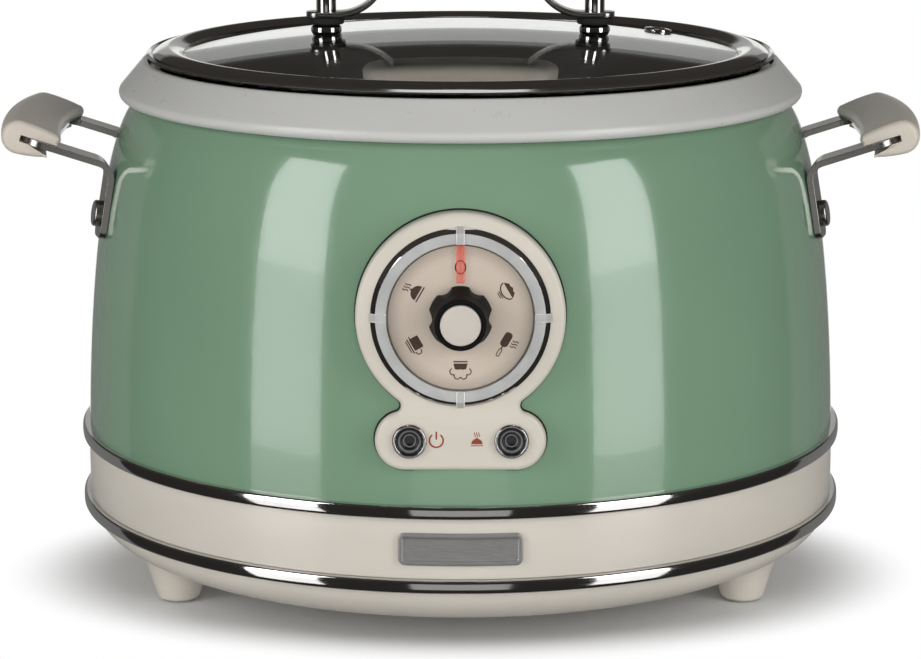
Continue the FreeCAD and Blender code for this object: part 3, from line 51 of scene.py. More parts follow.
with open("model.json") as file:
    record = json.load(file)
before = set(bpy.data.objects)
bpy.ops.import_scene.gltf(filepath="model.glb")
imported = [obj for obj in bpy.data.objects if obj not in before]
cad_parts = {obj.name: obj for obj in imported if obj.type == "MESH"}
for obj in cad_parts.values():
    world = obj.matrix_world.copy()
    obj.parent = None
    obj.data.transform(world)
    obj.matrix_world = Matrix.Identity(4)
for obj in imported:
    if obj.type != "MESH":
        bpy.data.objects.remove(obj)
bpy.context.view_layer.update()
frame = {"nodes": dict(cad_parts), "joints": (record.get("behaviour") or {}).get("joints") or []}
JOINTS = {joint["name"]: joint for joint in frame["joints"]}
MM = 0.001

# Points nearer than this are one point, and edges shorter than the second length are none, in metres.
SAME_POINT, NO_LENGTH = 2e-7, 1e-8

# The lamp bar in millimetres: half its straight part, the radius of its ends and of the hollow at its neck.
BAR_HALF, BAR_END, BAR_NECK = 20.4, 11.0, 2.5

# Noise that is stretched in no direction.
EVEN = (1.0, 1.0, 1.0)

# Radius of the dial's well and of a lamp's bore in the panel, and the height of the inlet, in millimetres.
DIAL_WELL, LAMP_BORE, INLET_Z = 27.0, 5.65, 90.0

# The body's upright axis, in millimetres, from the box of a round node.
LINER_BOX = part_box("pot_liner")
AXIS_Y = 500 * (LINER_BOX[0].y + LINER_BOX[1].y)
UPRIGHT = (np.array([0.0, AXIS_Y, 0.0]), np.eye(3))


def length(name, description, default):
    """A size in metres that a user can change, given here in millimetres."""
    return FloatProperty(name=name, description=description, default=default * MM, unit="LENGTH",
                         precision=5)


def colour(name, description, default):
    """A colour that a user can change, in linear light."""
    return FloatVectorProperty(name=name, description=description, default=default, subtype="COLOR",
                               size=3, min=0.0, max=1.0)


class CookerSizes(bpy.types.PropertyGroup):
    """Sizes of the visible pieces."""

    wall_foot_radius: length("Wall foot radius", "Radius of the green wall at its foot", 151.85)
    wall_top_radius: length("Wall top radius", "Radius of the green wall under the collar", 130.0)
    wall_foot_z: length("Wall foot height", "Height of the foot of the wall", 65.0)
    wall_top_z: length("Wall top height", "Height of the top of the wall", 197.0)
    wall_sheet: length("Wall sheet", "Thickness of the painted sheet", 1.0)
    collar_top_z: length("Collar height", "Height of the top of the collar", 212.0)
    ring_radius: length("Ring radius", "Outer radius of the polished rings", 155.0)
    ring_height: length("Ring height", "Height of each polished ring", 5.0)
    band_radius: length("Band radius", "Outer radius of the cream band", 152.2)
    band_z: length("Band height", "Height of the lower edge of the band", 36.8)
    band_tall: length("Band width", "Height of the band itself", 23.2)
    pan_z: length("Pan height", "Height of the underside of the pan", 12.5)
    foot_x: length("Foot place", "Sideways place of the feet", 113.0)
    foot_y: length("Foot depth", "Place of the feet to the front and back", 52.0)
    fascia_radius: length("Panel radius", "Radius of the round part of the panel", 38.4)
    bar_drop: length("Bar drop", "Middle of the lamp bar below the dial", 45.8)
    dial_radius: length("Dial radius", "Radius of the printed dial", 26.5)
    knob_radius: length("Knob radius", "Radius of the foot of the knob", 11.75)
    lamp_x: length("Lamp place", "Sideways place of the lamps", 18.65)
    rivet_z: length("Rivet height", "Height of the rivets of the side handles", 153.8)
    arm_y: length("Arm place", "Place of the bracket arms to the front and back", 38.0)
    grip_x: length("Grip place", "Sideways place of the side grips", 172.0)
    grip_z: length("Grip height", "Height of the side grips", 184.4)
    post_x: length("Post place", "Sideways place of the posts of the lid handle", 54.0)
    floor_size: length("Floor size", "Width of the floor", 9000.0)


class CookerColours(bpy.types.PropertyGroup):
    """Colours of the finishes."""

    wall: colour("Wall", "Gloss paint of the wall", (0.188, 0.308, 0.203))
    collar: colour("Collar", "Moulded collar", (0.555, 0.552, 0.532))
    cream: colour("Cream", "Band, pan and feet", (0.64, 0.60, 0.53))
    grip: colour("Grip", "Side grips and lid grip", (0.60, 0.545, 0.47))
    fascia: colour("Panel", "Control panel", (0.62, 0.575, 0.50))
    dial: colour("Dial", "Printed dial", (0.60, 0.51, 0.425))
    cap: colour("Cap", "Cap of the knob", (0.56, 0.51, 0.455))
    black: colour("Black", "Knob and socket", (0.012, 0.012, 0.013))
    print_brown: colour("Dial print", "Signs on the dial", (0.055, 0.030, 0.020))
    print_red: colour("Lamp print", "Signs beside the lamps", (0.26, 0.045, 0.022))
    cursor: colour("Cursor", "See-through strip over the dial", (0.85, 0.13, 0.08))
    chrome: colour("Chrome", "Polished rings and rims", (0.62, 0.61, 0.60))
    steel: colour("Steel", "Brackets, rivets and strap", (0.42, 0.405, 0.385))
    silver: colour("Silver", "Satin dial ring", (0.56, 0.56, 0.55))
    glass: colour("Glass", "Glass of the lid", (0.90, 0.94, 0.92))
    lining: colour("Lining", "Dark coating inside the pot", (0.018, 0.018, 0.018))
    floor: colour("Floor", "Floor of the stage", (0.86, 0.86, 0.86))


def size(name):
    """A size in millimetres."""
    return getattr(bpy.context.scene.cooker_sizes, name) / MM


def tint(name):
    """A colour as a four-part list."""
    return [*getattr(bpy.context.scene.cooker_colours, name), 1.0]


# Curves

def ray(angle):
    """A flat unit step in the direction of each angle: (cos a, sin a)."""
    return np.stack([np.cos(angle), np.sin(angle)], -1)


def bearing(step):
    """The angle of each flat step."""
    return np.arctan2(step[..., 1], step[..., 0])


def round_angles(count):
    """Even angles round a full turn."""
    return np.arange(count) * 2 * np.pi / count


def arc(start, middle, end, steps=14):
    """Points on the circle through three points, from the first to the last."""
    a, b, c = (np.array(point, float) for point in (start, middle, end))
    centre = np.linalg.solve(2 * np.array([b - a, c - a]), [b @ b - a @ a, c @ c - a @ a])
    radius = np.linalg.norm(a - centre)
    angles = np.unwrap([bearing(point - centre) for point in (a, b, c)])
    return centre + radius * ray(np.linspace(angles[0], angles[2], steps))


def bezier(poles, steps=24):
    """Cubic curve: (1-t)^3 a + 3t(1-t)^2 b + 3t^2(1-t) c + t^3 d."""
    t = np.linspace(0, 1, steps)[:, None]
    a, b, c, d = (np.array(pole, float) for pole in poles)
    return (1 - t) ** 3 * a + 3 * t * (1 - t) ** 2 * b + 3 * t ** 2 * (1 - t) * c + t ** 3 * d


def rounded(corners, steps=5, closed=True):
    """A line of corners (x, y, radius), each turned into a circle's arc that touches both of its sides.
    The arc is ((1-s)^2 A + 2s(1-s)w P + s^2 B) / ((1-s)^2 + 2s(1-s)w + s^2),
    with w the sine of half the corner."""
    full = np.array([list(corner) + [0.0] * (3 - len(corner)) for corner in corners], float)
    points, radius = full[:, :2], full[:, 2].copy()
    if not closed:
        radius[[0, -1]] = 0
    back, ahead = np.roll(points, 1, 0) - points, np.roll(points, -1, 0) - points
    back_run, ahead_run = np.linalg.norm(back, axis=1), np.linalg.norm(ahead, axis=1)
    back, ahead = back / back_run[:, None], ahead / ahead_run[:, None]
    half = 0.5 * np.arccos(np.clip((back * ahead).sum(1), -1, 1))
    reach = np.minimum(radius / np.tan(half), 0.49 * np.minimum(back_run, ahead_run))[:, None, None]
    s = np.linspace(0, 1, steps)[None, :, None]
    weight = np.sin(half)[:, None, None]
    first, last = points[:, None] + back[:, None] * reach, points[:, None] + ahead[:, None] * reach
    top = (1 - s) ** 2 * first + 2 * s * (1 - s) * weight * points[:, None] + s ** 2 * last
    return (top / ((1 - s) ** 2 + 2 * s * (1 - s) * weight + s ** 2)).reshape(-1, 2)


def pill(width, tall, corner, inset=0.0, steps=10):
    """A rectangle with round corners, drawn in by inset."""
    x, y, r = width / 2 - inset, tall / 2 - inset, max(corner - inset, 0.01)
    return rounded([(x, -y, r), (x, y, r), (-x, y, r), (-x, -y, r)], steps)


def edge_round(radius, steps=6):
    """Inset and drop along a quarter circle, from the side to the face."""
    turn = np.linspace(0, np.pi / 2, steps)
    return np.stack([radius * (1 - np.cos(turn)), radius * (np.sin(turn) - 1)], -1)


# Surfaces

def grid_faces(rows, columns, wrap_rows=False, wrap_columns=True):
    """Four-sided faces of a grid whose point number is row * columns + column."""
    row, column = np.meshgrid(np.arange(rows - (not wrap_rows)), np.arange(columns - (not wrap_columns)),
                              indexing="ij")
    below, beside = (row + 1) % rows, (column + 1) % columns
    here, there = row * columns, below * columns
    corners = [here + column, here + beside, there + beside, there + column]
    return np.stack(corners, -1).reshape(-1, 4)


def put(points, place):
    """Points carried from a piece's own axes to the cooker's frame."""
    origin, axes = place
    return origin + np.asarray(points, float) @ np.asarray(axes, float)


def upright(x, y=0.0):
    """Axes of an upright piece that stands beside the cooker's own axis."""
    return np.array([x, AXIS_Y + y, 0.0]), np.eye(3)


def lathe(profile, turns=160, place=UPRIGHT, closed=True):
    """Surface of revolution: (r cos a, r sin a, h) for each profile pair (r, h) and each angle a."""
    angle = round_angles(turns)
    radius, height = np.asarray(profile, float).T
    points = np.stack([radius[:, None] * np.cos(angle), radius[:, None] * np.sin(angle),
                       height[:, None] + 0 * angle], -1)
    return put(points.reshape(-1, 3), place), grid_faces(len(radius), turns, wrap_rows=closed)


def skin(rings, place=UPRIGHT, caps=(True, True)):
    """A surface through closed rings that all have as many points, with its ends filled if asked."""
    rings = np.asarray(rings, float)
    count, around = rings.shape[:2]
    faces = grid_faces(count, around).tolist()
    if caps[0]:
        faces.append(list(range(around))[::-1])
    if caps[1]:
        faces.append(list(range((count - 1) * around, count * around)))
    return put(rings.reshape(-1, 3), place), faces


def lifted(line, height):
    """A line of points with a height added to it, one for all or one for each."""
    return np.column_stack([line, np.broadcast_to(height, len(line))])


def plate(outline, steps, place=UPRIGHT):
    """A moulded plate: outline(inset) lifted to a height, for each pair (inset, height) of steps."""
    return skin([lifted(outline(inset), height) for inset, height in steps], place)


def ribbon(line, wide):
    """A flat stroke of even width along a line of points."""
    line = np.asarray(line, float)
    run = np.gradient(line, axis=0)
    side = np.stack([-run[:, 1], run[:, 0]], -1) / np.linalg.norm(run, axis=1)[:, None] * wide / 2
    points = np.concatenate([line + side, line - side])
    row = np.arange(len(line) - 1)
    return points, np.stack([row, row + len(line), row + len(line) + 1, row + 1], -1).tolist()


def joined(parts):
    """Several surfaces as one."""
    points, faces, start = [], [], 0
    for some_points, some_faces in parts:
        points.append(np.asarray(some_points, float))
        faces += [[start + int(corner) for corner in face] for face in some_faces]
        start += len(some_points)
    return np.concatenate(points), faces


def thick(amount):
    """A modifier that gives a surface its thickness, inwards, in millimetres."""
    return "SOLIDIFY", {"thickness": amount * MM, "offset": -1.0, "use_even_offset": True}


def soft_edges(width, segments, angle, **more):
    """A modifier that rounds the edges sharper than an angle in degrees."""
    return "BEVEL", {"width": width * MM, "segments": segments, "limit_method": "ANGLE",
                     "angle_limit": np.radians(angle), **more}


def piece(name, surface, finish, body, stands_for=(), crease=32.0, closed=True, layers=()):
    """A piece of the cooker from a surface in millimetres.
    Its doubles are merged, its normals point out, and edges sharper than crease degrees stay sharp."""
    points, faces = surface
    mesh = bpy.data.meshes.new(name)
    corners = faces if isinstance(faces, list) else faces.tolist()
    mesh.from_pydata(np.asarray(points, float) * MM, [], corners)
    shape = bmesh.new()
    shape.from_mesh(mesh)
    bmesh.ops.remove_doubles(shape, verts=shape.verts, dist=SAME_POINT)
    bmesh.ops.dissolve_degenerate(shape, edges=shape.edges, dist=NO_LENGTH)
    if closed:
        bmesh.ops.recalc_face_normals(shape, faces=shape.faces)
    shape.to_mesh(mesh)
    shape.free()
    return dress(name, mesh, finish, body, stands_for, crease, layers)


def dress(name, mesh, finish, body, stands_for, crease, layers):
    """Gives a mesh its finish, its body and its modifiers.
    A piece whose body is given as a tuple gets no body: its place is baked into its mesh."""
    mesh.polygons.foreach_set("use_smooth", np.ones(len(mesh.polygons), bool))
    mesh.set_sharp_from_angle(angle=np.radians(crease))
    mesh.materials.append(FINISHES[finish])
    obj = bpy.data.objects.new(name, mesh)
    bpy.context.scene.collection.objects.link(obj)
    for kind, settings in layers:
        modifier = obj.modifiers.new(kind.title(), kind)
        for key, value in settings.items():
            setattr(modifier, key, value)
    if isinstance(body, tuple):
        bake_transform(obj)
    else:
        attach(obj, body)
    if stands_for:
        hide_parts(*stands_for)
    return obj


def softened(name, node, finish, body, bevel):
    """A copy of a node's solid with its flat faces merged and its edges softened."""
    crease, flat = 28.0, np.radians(1.0)
    mesh = bpy.data.meshes.new(name)
    shape = bmesh.new()
    shape.from_mesh(frame["nodes"][node].data)
    bmesh.ops.remove_doubles(shape, verts=shape.verts, dist=10 * SAME_POINT)
    bmesh.ops.dissolve_limit(shape, angle_limit=flat, verts=shape.verts, edges=shape.edges)
    bmesh.ops.recalc_face_normals(shape, faces=shape.faces)
    shape.to_mesh(mesh)
    shape.free()
    soft = soft_edges(bevel, 3, 40, use_clamp_overlap=True, harden_normals=True)
    return dress(name, mesh, finish, body, [node], crease, [soft])


# Finishes

class Signal:
    """A shader value. Arithmetic on it adds Math nodes to its finish."""

    def __init__(self, finish, socket):
        self.finish = finish
        self.socket = socket

    def math(self, operation, *others):
        """A Math node on this value and the others."""
        sockets = dict(enumerate((self, *others)))
        node = self.finish.node("ShaderNodeMath", {"operation": operation}, sockets)
        return Signal(self.finish, node.outputs[0])

    def __add__(self, other):
        return self.math("ADD", other)

    def __mul__(self, other):
        return self.math("MULTIPLY", other)

    def __sub__(self, other):
        return self.math("SUBTRACT", other)

    def __rsub__(self, other):
        return self * -1.0 + other

    __radd__ = __add__
    __rmul__ = __mul__

    def step(self, low, high):
        """0 below low, 1 above high, and smooth between them."""
        node = self.finish.node("ShaderNodeMapRange", {"interpolation_type": "SMOOTHSTEP"},
                                {"Value": self, "From Min": low, "From Max": high})
        return Signal(self.finish, node.outputs["Result"])


class Nodes:
    """A shader tree to which nodes are added."""

    def __init__(self, tree):
        self.tree = tree
        tree.nodes.clear()

    def node(self, kind, settings=None, sockets=None):
        """A node of this type: its settings are set first, then its sockets get their values or links."""
        node = self.tree.nodes.new(kind)
        for key, value in (settings or {}).items():
            setattr(node, key, value)
        for key, value in (sockets or {}).items():
            self.join(node.inputs[key], value)
        return node

    def join(self, socket, value):
        """A socket's link or value."""
        if isinstance(value, Signal):
            value = value.socket
        if isinstance(value, bpy.types.NodeSocket):
            self.tree.links.new(value, socket)
        else:
            socket.default_value = value


class Finish(Nodes):
    """A material whose Principled shader is fed by nodes."""

    def __init__(self, name, **constants):
        self.material = bpy.data.materials.new(name)
        self.material.use_nodes = True
        super().__init__(self.material.node_tree)
        self.shader = self.node("ShaderNodeBsdfPrincipled")
        self.output = self.node("ShaderNodeOutputMaterial", {}, {"Surface": self.shader.outputs["BSDF"]})
        self.place = self.node("ShaderNodeTexCoord").outputs["Object"]
        self.feed(**constants)

    def feed(self, **values):
        """Values or links for the shader, by socket name with _ for a space."""
        for key, value in values.items():
            self.join(self.shader.inputs[key.replace("_", " ")], value)
        return self

    def noise(self, scale, detail=2.0, stretch=EVEN):
        """Noise on the piece's own coordinates, in metres."""
        place = self.node("ShaderNodeMapping", {}, {"Vector": self.place, "Scale": stretch})
        node = self.node("ShaderNodeTexNoise", {},
                         {"Vector": place.outputs[0], "Scale": scale, "Detail": detail})
        return Signal(self, node.outputs[0])

    def coordinate(self):
        """The piece's own x, y and z, in metres."""
        node = self.node("ShaderNodeSeparateXYZ", {}, {0: self.place})
        return [Signal(self, output) for output in node.outputs]

    def between(self, factor, first, second):
        """A colour between two colours."""
        node = self.node("ShaderNodeMix", {"data_type": "RGBA"}, {0: factor, 6: first, 7: second})
        return Signal(self, node.outputs[2])

    def bump(self, height, strength, depth):
        """Lifts the surface by a height, in metres of depth."""
        node = self.node("ShaderNodeBump", {}, {"Height": height, "Strength": strength, "Distance": depth})
        return self.feed(Normal=node.outputs[0])


def shade(base, factor):
    """A colour made lighter or darker."""
    return [min(1.0, part * factor) for part in base[:3]] + [1.0]


def paint(name, base):
    """Gloss stove paint on sheet steel: faint clouds of tone, fine orange peel and a clear gloss."""
    finish = Finish(name, IOR=1.5, Coat_Weight=0.55, Coat_Roughness=0.03)
    clouds = finish.noise(9.0, 3.0).step(0.3, 0.7)
    peel = finish.noise(420.0, 2.0) + finish.noise(90.0, 2.0) * 2.0
    finish.feed(Base_Color=finish.between(clouds, shade(base, 0.97), shade(base, 1.03)),
                Roughness=finish.noise(60.0, 2.0) * 0.05 + 0.10)
    return finish.bump(peel, 0.35, 0.00008).material


def moulded(name, base, roughness=0.32, grain=0.35, gloss=0.5):
    """Moulded plastic: faint flow marks, a fine spark texture and small changes of gloss."""
    finish = Finish(name, IOR=1.48, Specular_IOR_Level=gloss)
    flow = finish.noise(14.0, 3.0, (1.0, 1.0, 3.0)).step(0.25, 0.75)
    spark = finish.noise(1500.0, 2.0) + finish.noise(160.0, 2.0) * 0.8
    finish.feed(Base_Color=finish.between(flow, shade(base, 0.965), shade(base, 1.025)),
                Roughness=finish.noise(240.0, 2.0) * 0.12 + (roughness - 0.06))
    return finish.bump(spark, grain, 0.00005).material


def polished(name, base, roughness=0.06):
    """Polished metal: faint hand marks in the gloss, hairline scratches and a slight tone."""
    finish = Finish(name, Metallic=1.0)
    marks = finish.noise(38.0, 4.0).step(0.4, 0.75)
    hairs = finish.noise(500.0, 3.0, (1.0, 1.0, 14.0))
    finish.feed(Base_Color=finish.between(marks, shade(base, 1.03), shade(base, 0.95)),
                Roughness=marks * 0.05 + hairs * 0.04 + (roughness - 0.02))
    return finish.bump(hairs, 0.06, 0.00003).material


def brushed(name, base, stretch=(1.0, 30.0, 30.0), roughness=0.26, metal=1.0):
    """Brushed metal: fine lines along one direction in tone, gloss and relief.
    Metal under 1 is a satin plating."""
    finish = Finish(name, Metallic=metal)
    lines = finish.noise(90.0, 4.0, stretch)
    clouds = finish.noise(30.0, 2.0)
    finish.feed(Base_Color=finish.between(lines.step(0.3, 0.7), shade(base, 0.9), shade(base, 1.08)),
                Roughness=lines * 0.16 + clouds * 0.08 + (roughness - 0.12))
    return finish.bump(lines, 0.12, 0.00004).material


def rubber(name, base):
    """Matt rubber with a dusty grain."""
    finish = Finish(name, IOR=1.4)
    dust = finish.noise(700.0, 3.0)
    finish.feed(Base_Color=finish.between(dust.step(0.45, 0.8), base, shade(base, 1.5)),
                Roughness=dust * 0.15 + 0.65)
    return finish.bump(dust, 0.3, 0.00006).material


def printed(name, base):
    """Printed ink, slightly uneven."""
    finish = Finish(name, IOR=1.45)
    cover = finish.noise(900.0, 3.0)
    finish.feed(Base_Color=finish.between(cover.step(0.35, 0.8), base, shade(base, 1.35)),
                Roughness=cover * 0.2 + 0.45)
    return finish.material


def lid_glass_finish():
    """Clear tempered glass with the slightest wave and a few wipe marks."""
    finish = Finish("glass_clear", Base_Color=tint("glass"), IOR=1.5, Transmission_Weight=1.0)
    wipe = finish.noise(26.0, 3.0, (1.0, 4.0, 1.0)).step(0.5, 0.85)
    finish.feed(Roughness=wipe * 0.02)
    return finish.bump(finish.noise(14.0, 1.0), 0.05, 0.0002).material


def lens_finish():
    """Smoked clear plastic, nearly black, with two paler rings round the middle of each lamp, painted
    reflections of its stepped inside.
    """
    finish = Finish("lens_smoked", IOR=1.5, Coat_Weight=0.6, Coat_Roughness=0.05)
    grain = finish.noise(900.0, 2.0)
    middle = put([size("lamp_x"), -size("bar_drop"), 0.0], panel_place()) * MM
    x, _, z = finish.coordinate()
    aside, above = x.math("ABSOLUTE") - float(middle[0]), z - float(middle[2])
    radius = (aside * aside + above * above).math("SQRT")
    soft = 0.0002
    # Painted reflection: two paler rings stand in for the highlights of the lamp's stepped reflector.
    rings = [radius.step(low, low + soft) - radius.step(high, high + soft)
             for low, high in ((0.0019, 0.0023), (0.0034, 0.0040))]
    dark = finish.between(grain, [0.006, 0.006, 0.007, 1.0], [0.018, 0.017, 0.018, 1.0])
    finish.feed(Base_Color=finish.between(rings[0] + rings[1], dark, [0.16, 0.16, 0.17, 1.0]),
                Roughness=grain * 0.1 + 0.12)
    return finish.material


def cursor_finish():
    """Red see-through plastic: lets the print below show; towards its edges it is painted lighter and more
    opaque, a painted highlight for the light its edges catch.
    """
    finish = Finish("cursor_red", IOR=1.45)
    side = finish.coordinate()[0]
    # Painted highlight: the edges get a lighter red and a higher alpha.
    edge = side.math("ABSOLUTE").step(0.0010, 0.00145)
    finish.feed(Base_Color=finish.between(edge, tint("cursor"), shade(tint("cursor"), 1.15)),
                Roughness=finish.noise(500.0, 2.0) * 0.1 + 0.2, Alpha=edge * 0.25 + 0.30)
    finish.material.surface_render_method = "BLENDED"
    return finish.material


def dial_finish():
    """Pearl-coloured dial face: spun lines round its middle, a soft sheen, and painted shade that darkens it
    towards its rim, where the raised ring would shade its recess.
    """
    finish = Finish("dial_pearl", IOR=1.5)
    base = tint("dial")
    joint = JOINTS["dial_turn"]["pos_m"]
    x, _, z = finish.coordinate()
    radius = (x * x + (z - joint[2]) * (z - joint[2])).math("SQRT")
    lines = finish.node("ShaderNodeTexNoise", {"noise_dimensions": "1D"},
                        {"W": radius * 2600.0, "Scale": 1.0})
    spun = Signal(finish, lines.outputs[0])
    face = finish.between(spun.step(0.3, 0.7), shade(base, 0.97), shade(base, 1.03))
    # Painted shade: the face is darkened towards its rim, standing in for the shadow of the ring round the
    # dial's recess.
    finish.feed(Base_Color=finish.between(radius.step(0.0205, 0.0264), face, shade(base, 0.72)),
                Roughness=spun * 0.12 + 0.28, Metallic=0.1)
    return finish.bump(spun, 0.05, 0.00003).material


def pot_finish():
    """Drawn aluminium: polished on the flange and outside, dark coated inside.
    The coating shows where the radius is under the middle of the wall, which widens with height."""
    finish = Finish("pot_coated", IOR=1.5)
    x, y, z = finish.coordinate()
    across = y - AXIS_Y * MM
    radius = (x * x + across * across).math("SQRT")
    foot_z, foot_radius, opening, floor_z, soft = 0.0934, 0.11365, 0.0277, 0.0940, 0.0001
    middle = (z - foot_z) * opening + foot_radius
    inside = (middle - radius).step(-soft, soft) * (z - floor_z).step(-soft, soft)
    fleck = finish.noise(2400.0, 2.0).step(0.55, 0.75)
    coat = finish.between(fleck, tint("lining"), shade(tint("lining"), 1.4))
    lines = finish.noise(300.0, 3.0, (1.0, 1.0, 20.0))
    metal = finish.between(lines, shade(tint("chrome"), 0.9), shade(tint("chrome"), 1.05))
    finish.feed(Base_Color=finish.between(inside, metal, coat), Metallic=1.0 - inside,
                Roughness=inside * 0.25 + lines * 0.06 + 0.08)
    return finish.bump(fleck * inside, 0.05, 0.00002).material


FINISHES = {}


def make_finishes():
    """Every finish, once."""
    FINISHES.update({
        "paint": paint("paint_green", tint("wall")),
        "collar": moulded("plastic_grey", tint("collar"), 0.30, 0.10),
        "cream": moulded("plastic_cream", tint("cream"), 0.24, 0.2),
        "grip": moulded("plastic_grip", tint("grip"), 0.36),
        "fascia": moulded("plastic_panel", tint("fascia"), 0.22, 0.12),
        "dial": dial_finish(),
        "cap": moulded("plastic_cap", tint("cap"), 0.38),
        "knob": moulded("plastic_knob", shade(tint("black"), 0.7), 0.46, 0.15, 0.03),
        "black_matt": moulded("plastic_socket", tint("black"), 0.5, 0.5),
        "ink_brown": printed("ink_brown", tint("print_brown")),
        "ink_red": printed("ink_red", tint("print_red")),
        "cursor": cursor_finish(),
        "chrome": polished("chrome_bright", tint("chrome")),
        "badge": brushed("badge_metal", shade(tint("chrome"), 0.55), (1.0, 30.0, 30.0), 0.42, 0.6),
        "rim": polished("chrome_rim", shade(tint("chrome"), 0.82), 0.07),
        "steel": brushed("steel_bright", tint("steel"), (30.0, 1.0, 30.0), 0.24),
        "steel_spun": brushed("steel_spun", tint("steel"), EVEN, 0.28),
        "silver": brushed("silver_satin", tint("silver"), EVEN, 0.38, 0.35),
        # Partly painted highlight: the rails are a paler silver than the ring, standing in for the glint of
        # the bridges' polished edges.
        "rail": brushed("rail_painted_glint", shade(tint("silver"), 1.4), EVEN, 0.25, 0.3),
        "rubber_black": rubber("rubber_black", [0.012, 0.012, 0.012, 1.0]),
        "rubber_grey": rubber("rubber_grey", [0.30, 0.29, 0.27, 1.0]),
        "glass": lid_glass_finish(),
        "lens": lens_finish(),
        "pot": pot_finish(),
        "cast": brushed("aluminium_cast", [0.55, 0.55, 0.56, 1.0], EVEN, 0.42),
        "brass": brushed("brass_pins", [0.60, 0.45, 0.20, 1.0], (1.0, 20.0, 1.0), 0.3),
        "dull": brushed("steel_dull", [0.20, 0.19, 0.18, 1.0], EVEN, 0.45),
        "ceramic": moulded("ceramic_white", [0.70, 0.68, 0.62, 1.0], 0.5),
        "board": moulded("board_lacquer", [0.015, 0.09, 0.035, 1.0], 0.3),
    })


# The wall, which other pieces sit on

def wall_poles():
    """Poles of the wall's curve: upright at the foot, and bending in under the collar."""
    foot_hold, top_hold, draw = 15.0, 16.3, 2.75
    foot, top = size("wall_foot_radius"), size("wall_top_radius")
    low, high = size("wall_foot_z"), size("wall_top_z")
    return [(foot, low), (foot, low + foot_hold), (foot - draw, high - top_hold), (top, high)]


def wall_radius(z):
    """Radius of the wall at each height."""
    curve = bezier(wall_poles(), 2000)
    return np.interp(z, curve[:, 1], curve[:, 0])


def panel_place():
    """Frame of the control panel, from the dial's joint: x to the right, y up the face, z out of it."""
    joint = JOINTS["dial_turn"]
    out = np.array(joint["axis"], float)
    return np.array(joint["pos_m"]) / MM, np.array([[1.0, 0.0, 0.0], np.cross(out, [1.0, 0.0, 0.0]), out])


def to_panel(points):
    """Points of the cooker's frame in the panel's own axes."""
    origin, axes = panel_place()
    return (np.asarray(points) - origin) @ axes.T


def keyhole(inset):
    """The panel's outline drawn in by inset: a disc over a bar with round ends, with a hollow fillet at
    each neck. The fillet's circle touches the disc and the bar's end circle from outside."""
    disc, end, neck = size("fascia_radius") - inset, BAR_END - inset, BAR_NECK + inset
    centre = np.array([BAR_HALF, -size("bar_drop")])
    far = np.linalg.norm(centre)
    along = ((disc + neck) ** 2 - (end + neck) ** 2 + far ** 2) / (2 * far)
    aside = np.sqrt((disc + neck) ** 2 - along ** 2)
    unit = centre / far
    hollow = unit * along + np.array([-unit[1], unit[0]]) * aside
    on_disc, on_end = hollow * disc / (disc + neck), centre + (hollow - centre) * end / (end + neck)
    round_top = disc * ray(np.linspace(np.pi / 2, bearing(on_disc), 90))
    from_angle, to_angle = np.unwrap([bearing(point - hollow) for point in (on_disc, on_end)])
    fillet = hollow + neck * ray(np.linspace(from_angle, to_angle, 12))
    bar_end = centre + end * ray(np.linspace(bearing(on_end - centre), -np.pi / 2, 48))
    right = np.concatenate([round_top, fillet[1:], bar_end[1:]])
    left = right[1:][::-1] * [-1, 1]
    return np.concatenate([right, left])[::-1]


def inside_keyhole(points, inset):
    """Whether flat points lie in the panel's outline drawn in by inset."""
    x, y = points[..., 0], points[..., 1]
    disc = np.hypot(x, y) < size("fascia_radius") - inset
    bar = np.hypot(np.maximum(np.abs(x) - BAR_HALF, 0), y + size("bar_drop")) < BAR_END - inset
    return disc | bar


class CookerWall(bpy.types.Operator):
    """Makes the painted wall and the collar on top of it"""
    bl_idname = "cooker.wall"
    bl_label = "Wall and Collar"

    def execute(self, context):
        self.make_wall()
        self.make_collar()
        return {"FINISHED"}

    def make_wall(self):
        """The wall's curve turned about the axis, open behind the panel and the inlet, then given its
        thickness."""
        hem, panel_land, panel_depth, inlet_half, inlet_tall = 1.2, 7.5, 30.0, 13.0, 9.5
        foot = np.array([[size("wall_foot_radius") - hem, size("wall_foot_z")]])
        profile = np.concatenate([foot, bezier(wall_poles(), 76)])
        points, faces = lathe(profile, 360, closed=False)
        middles = points[faces].mean(1)
        local = to_panel(middles)
        front = (local[:, 2] > -panel_depth) & inside_keyhole(local, panel_land)
        aside, above = np.abs(middles[:, 0]), np.abs(middles[:, 2] - INLET_Z)
        behind = (middles[:, 1] > AXIS_Y) & (aside < inlet_half) & (above < inlet_tall)
        piece("wall", (points, faces[~(front | behind)]), "paint", "body",
              ["outer_shell"], layers=[thick(size("wall_sheet"))])

    def make_collar(self):
        """A ring: flat lip, sloping face, full round, and a foot that covers the top of the wall."""
        top, foot = size("collar_top_z"), size("wall_top_z") - 0.1
        mouth, lip_in, lip_out, lip_low = 122.8, 125.6, 127.7, top - 3.5
        brow = (136.7, top - 10.6)
        bulge = arc(brow, (137.4, top - 12.5), (133.2, foot), 28)
        lip = rounded([(lip_in, lip_low), (lip_in, top, 0.6), (lip_out, top, 1.6), brow], 7, closed=False)
        seat = [(wall_radius(foot) + 0.1, foot), (130.1, foot + 0.1), (mouth, foot + 0.1), (mouth, lip_low)]
        profile = np.concatenate([lip, bulge[1:], seat])
        piece("collar", lathe(profile, 288), "collar", "body", ["top_collar"])


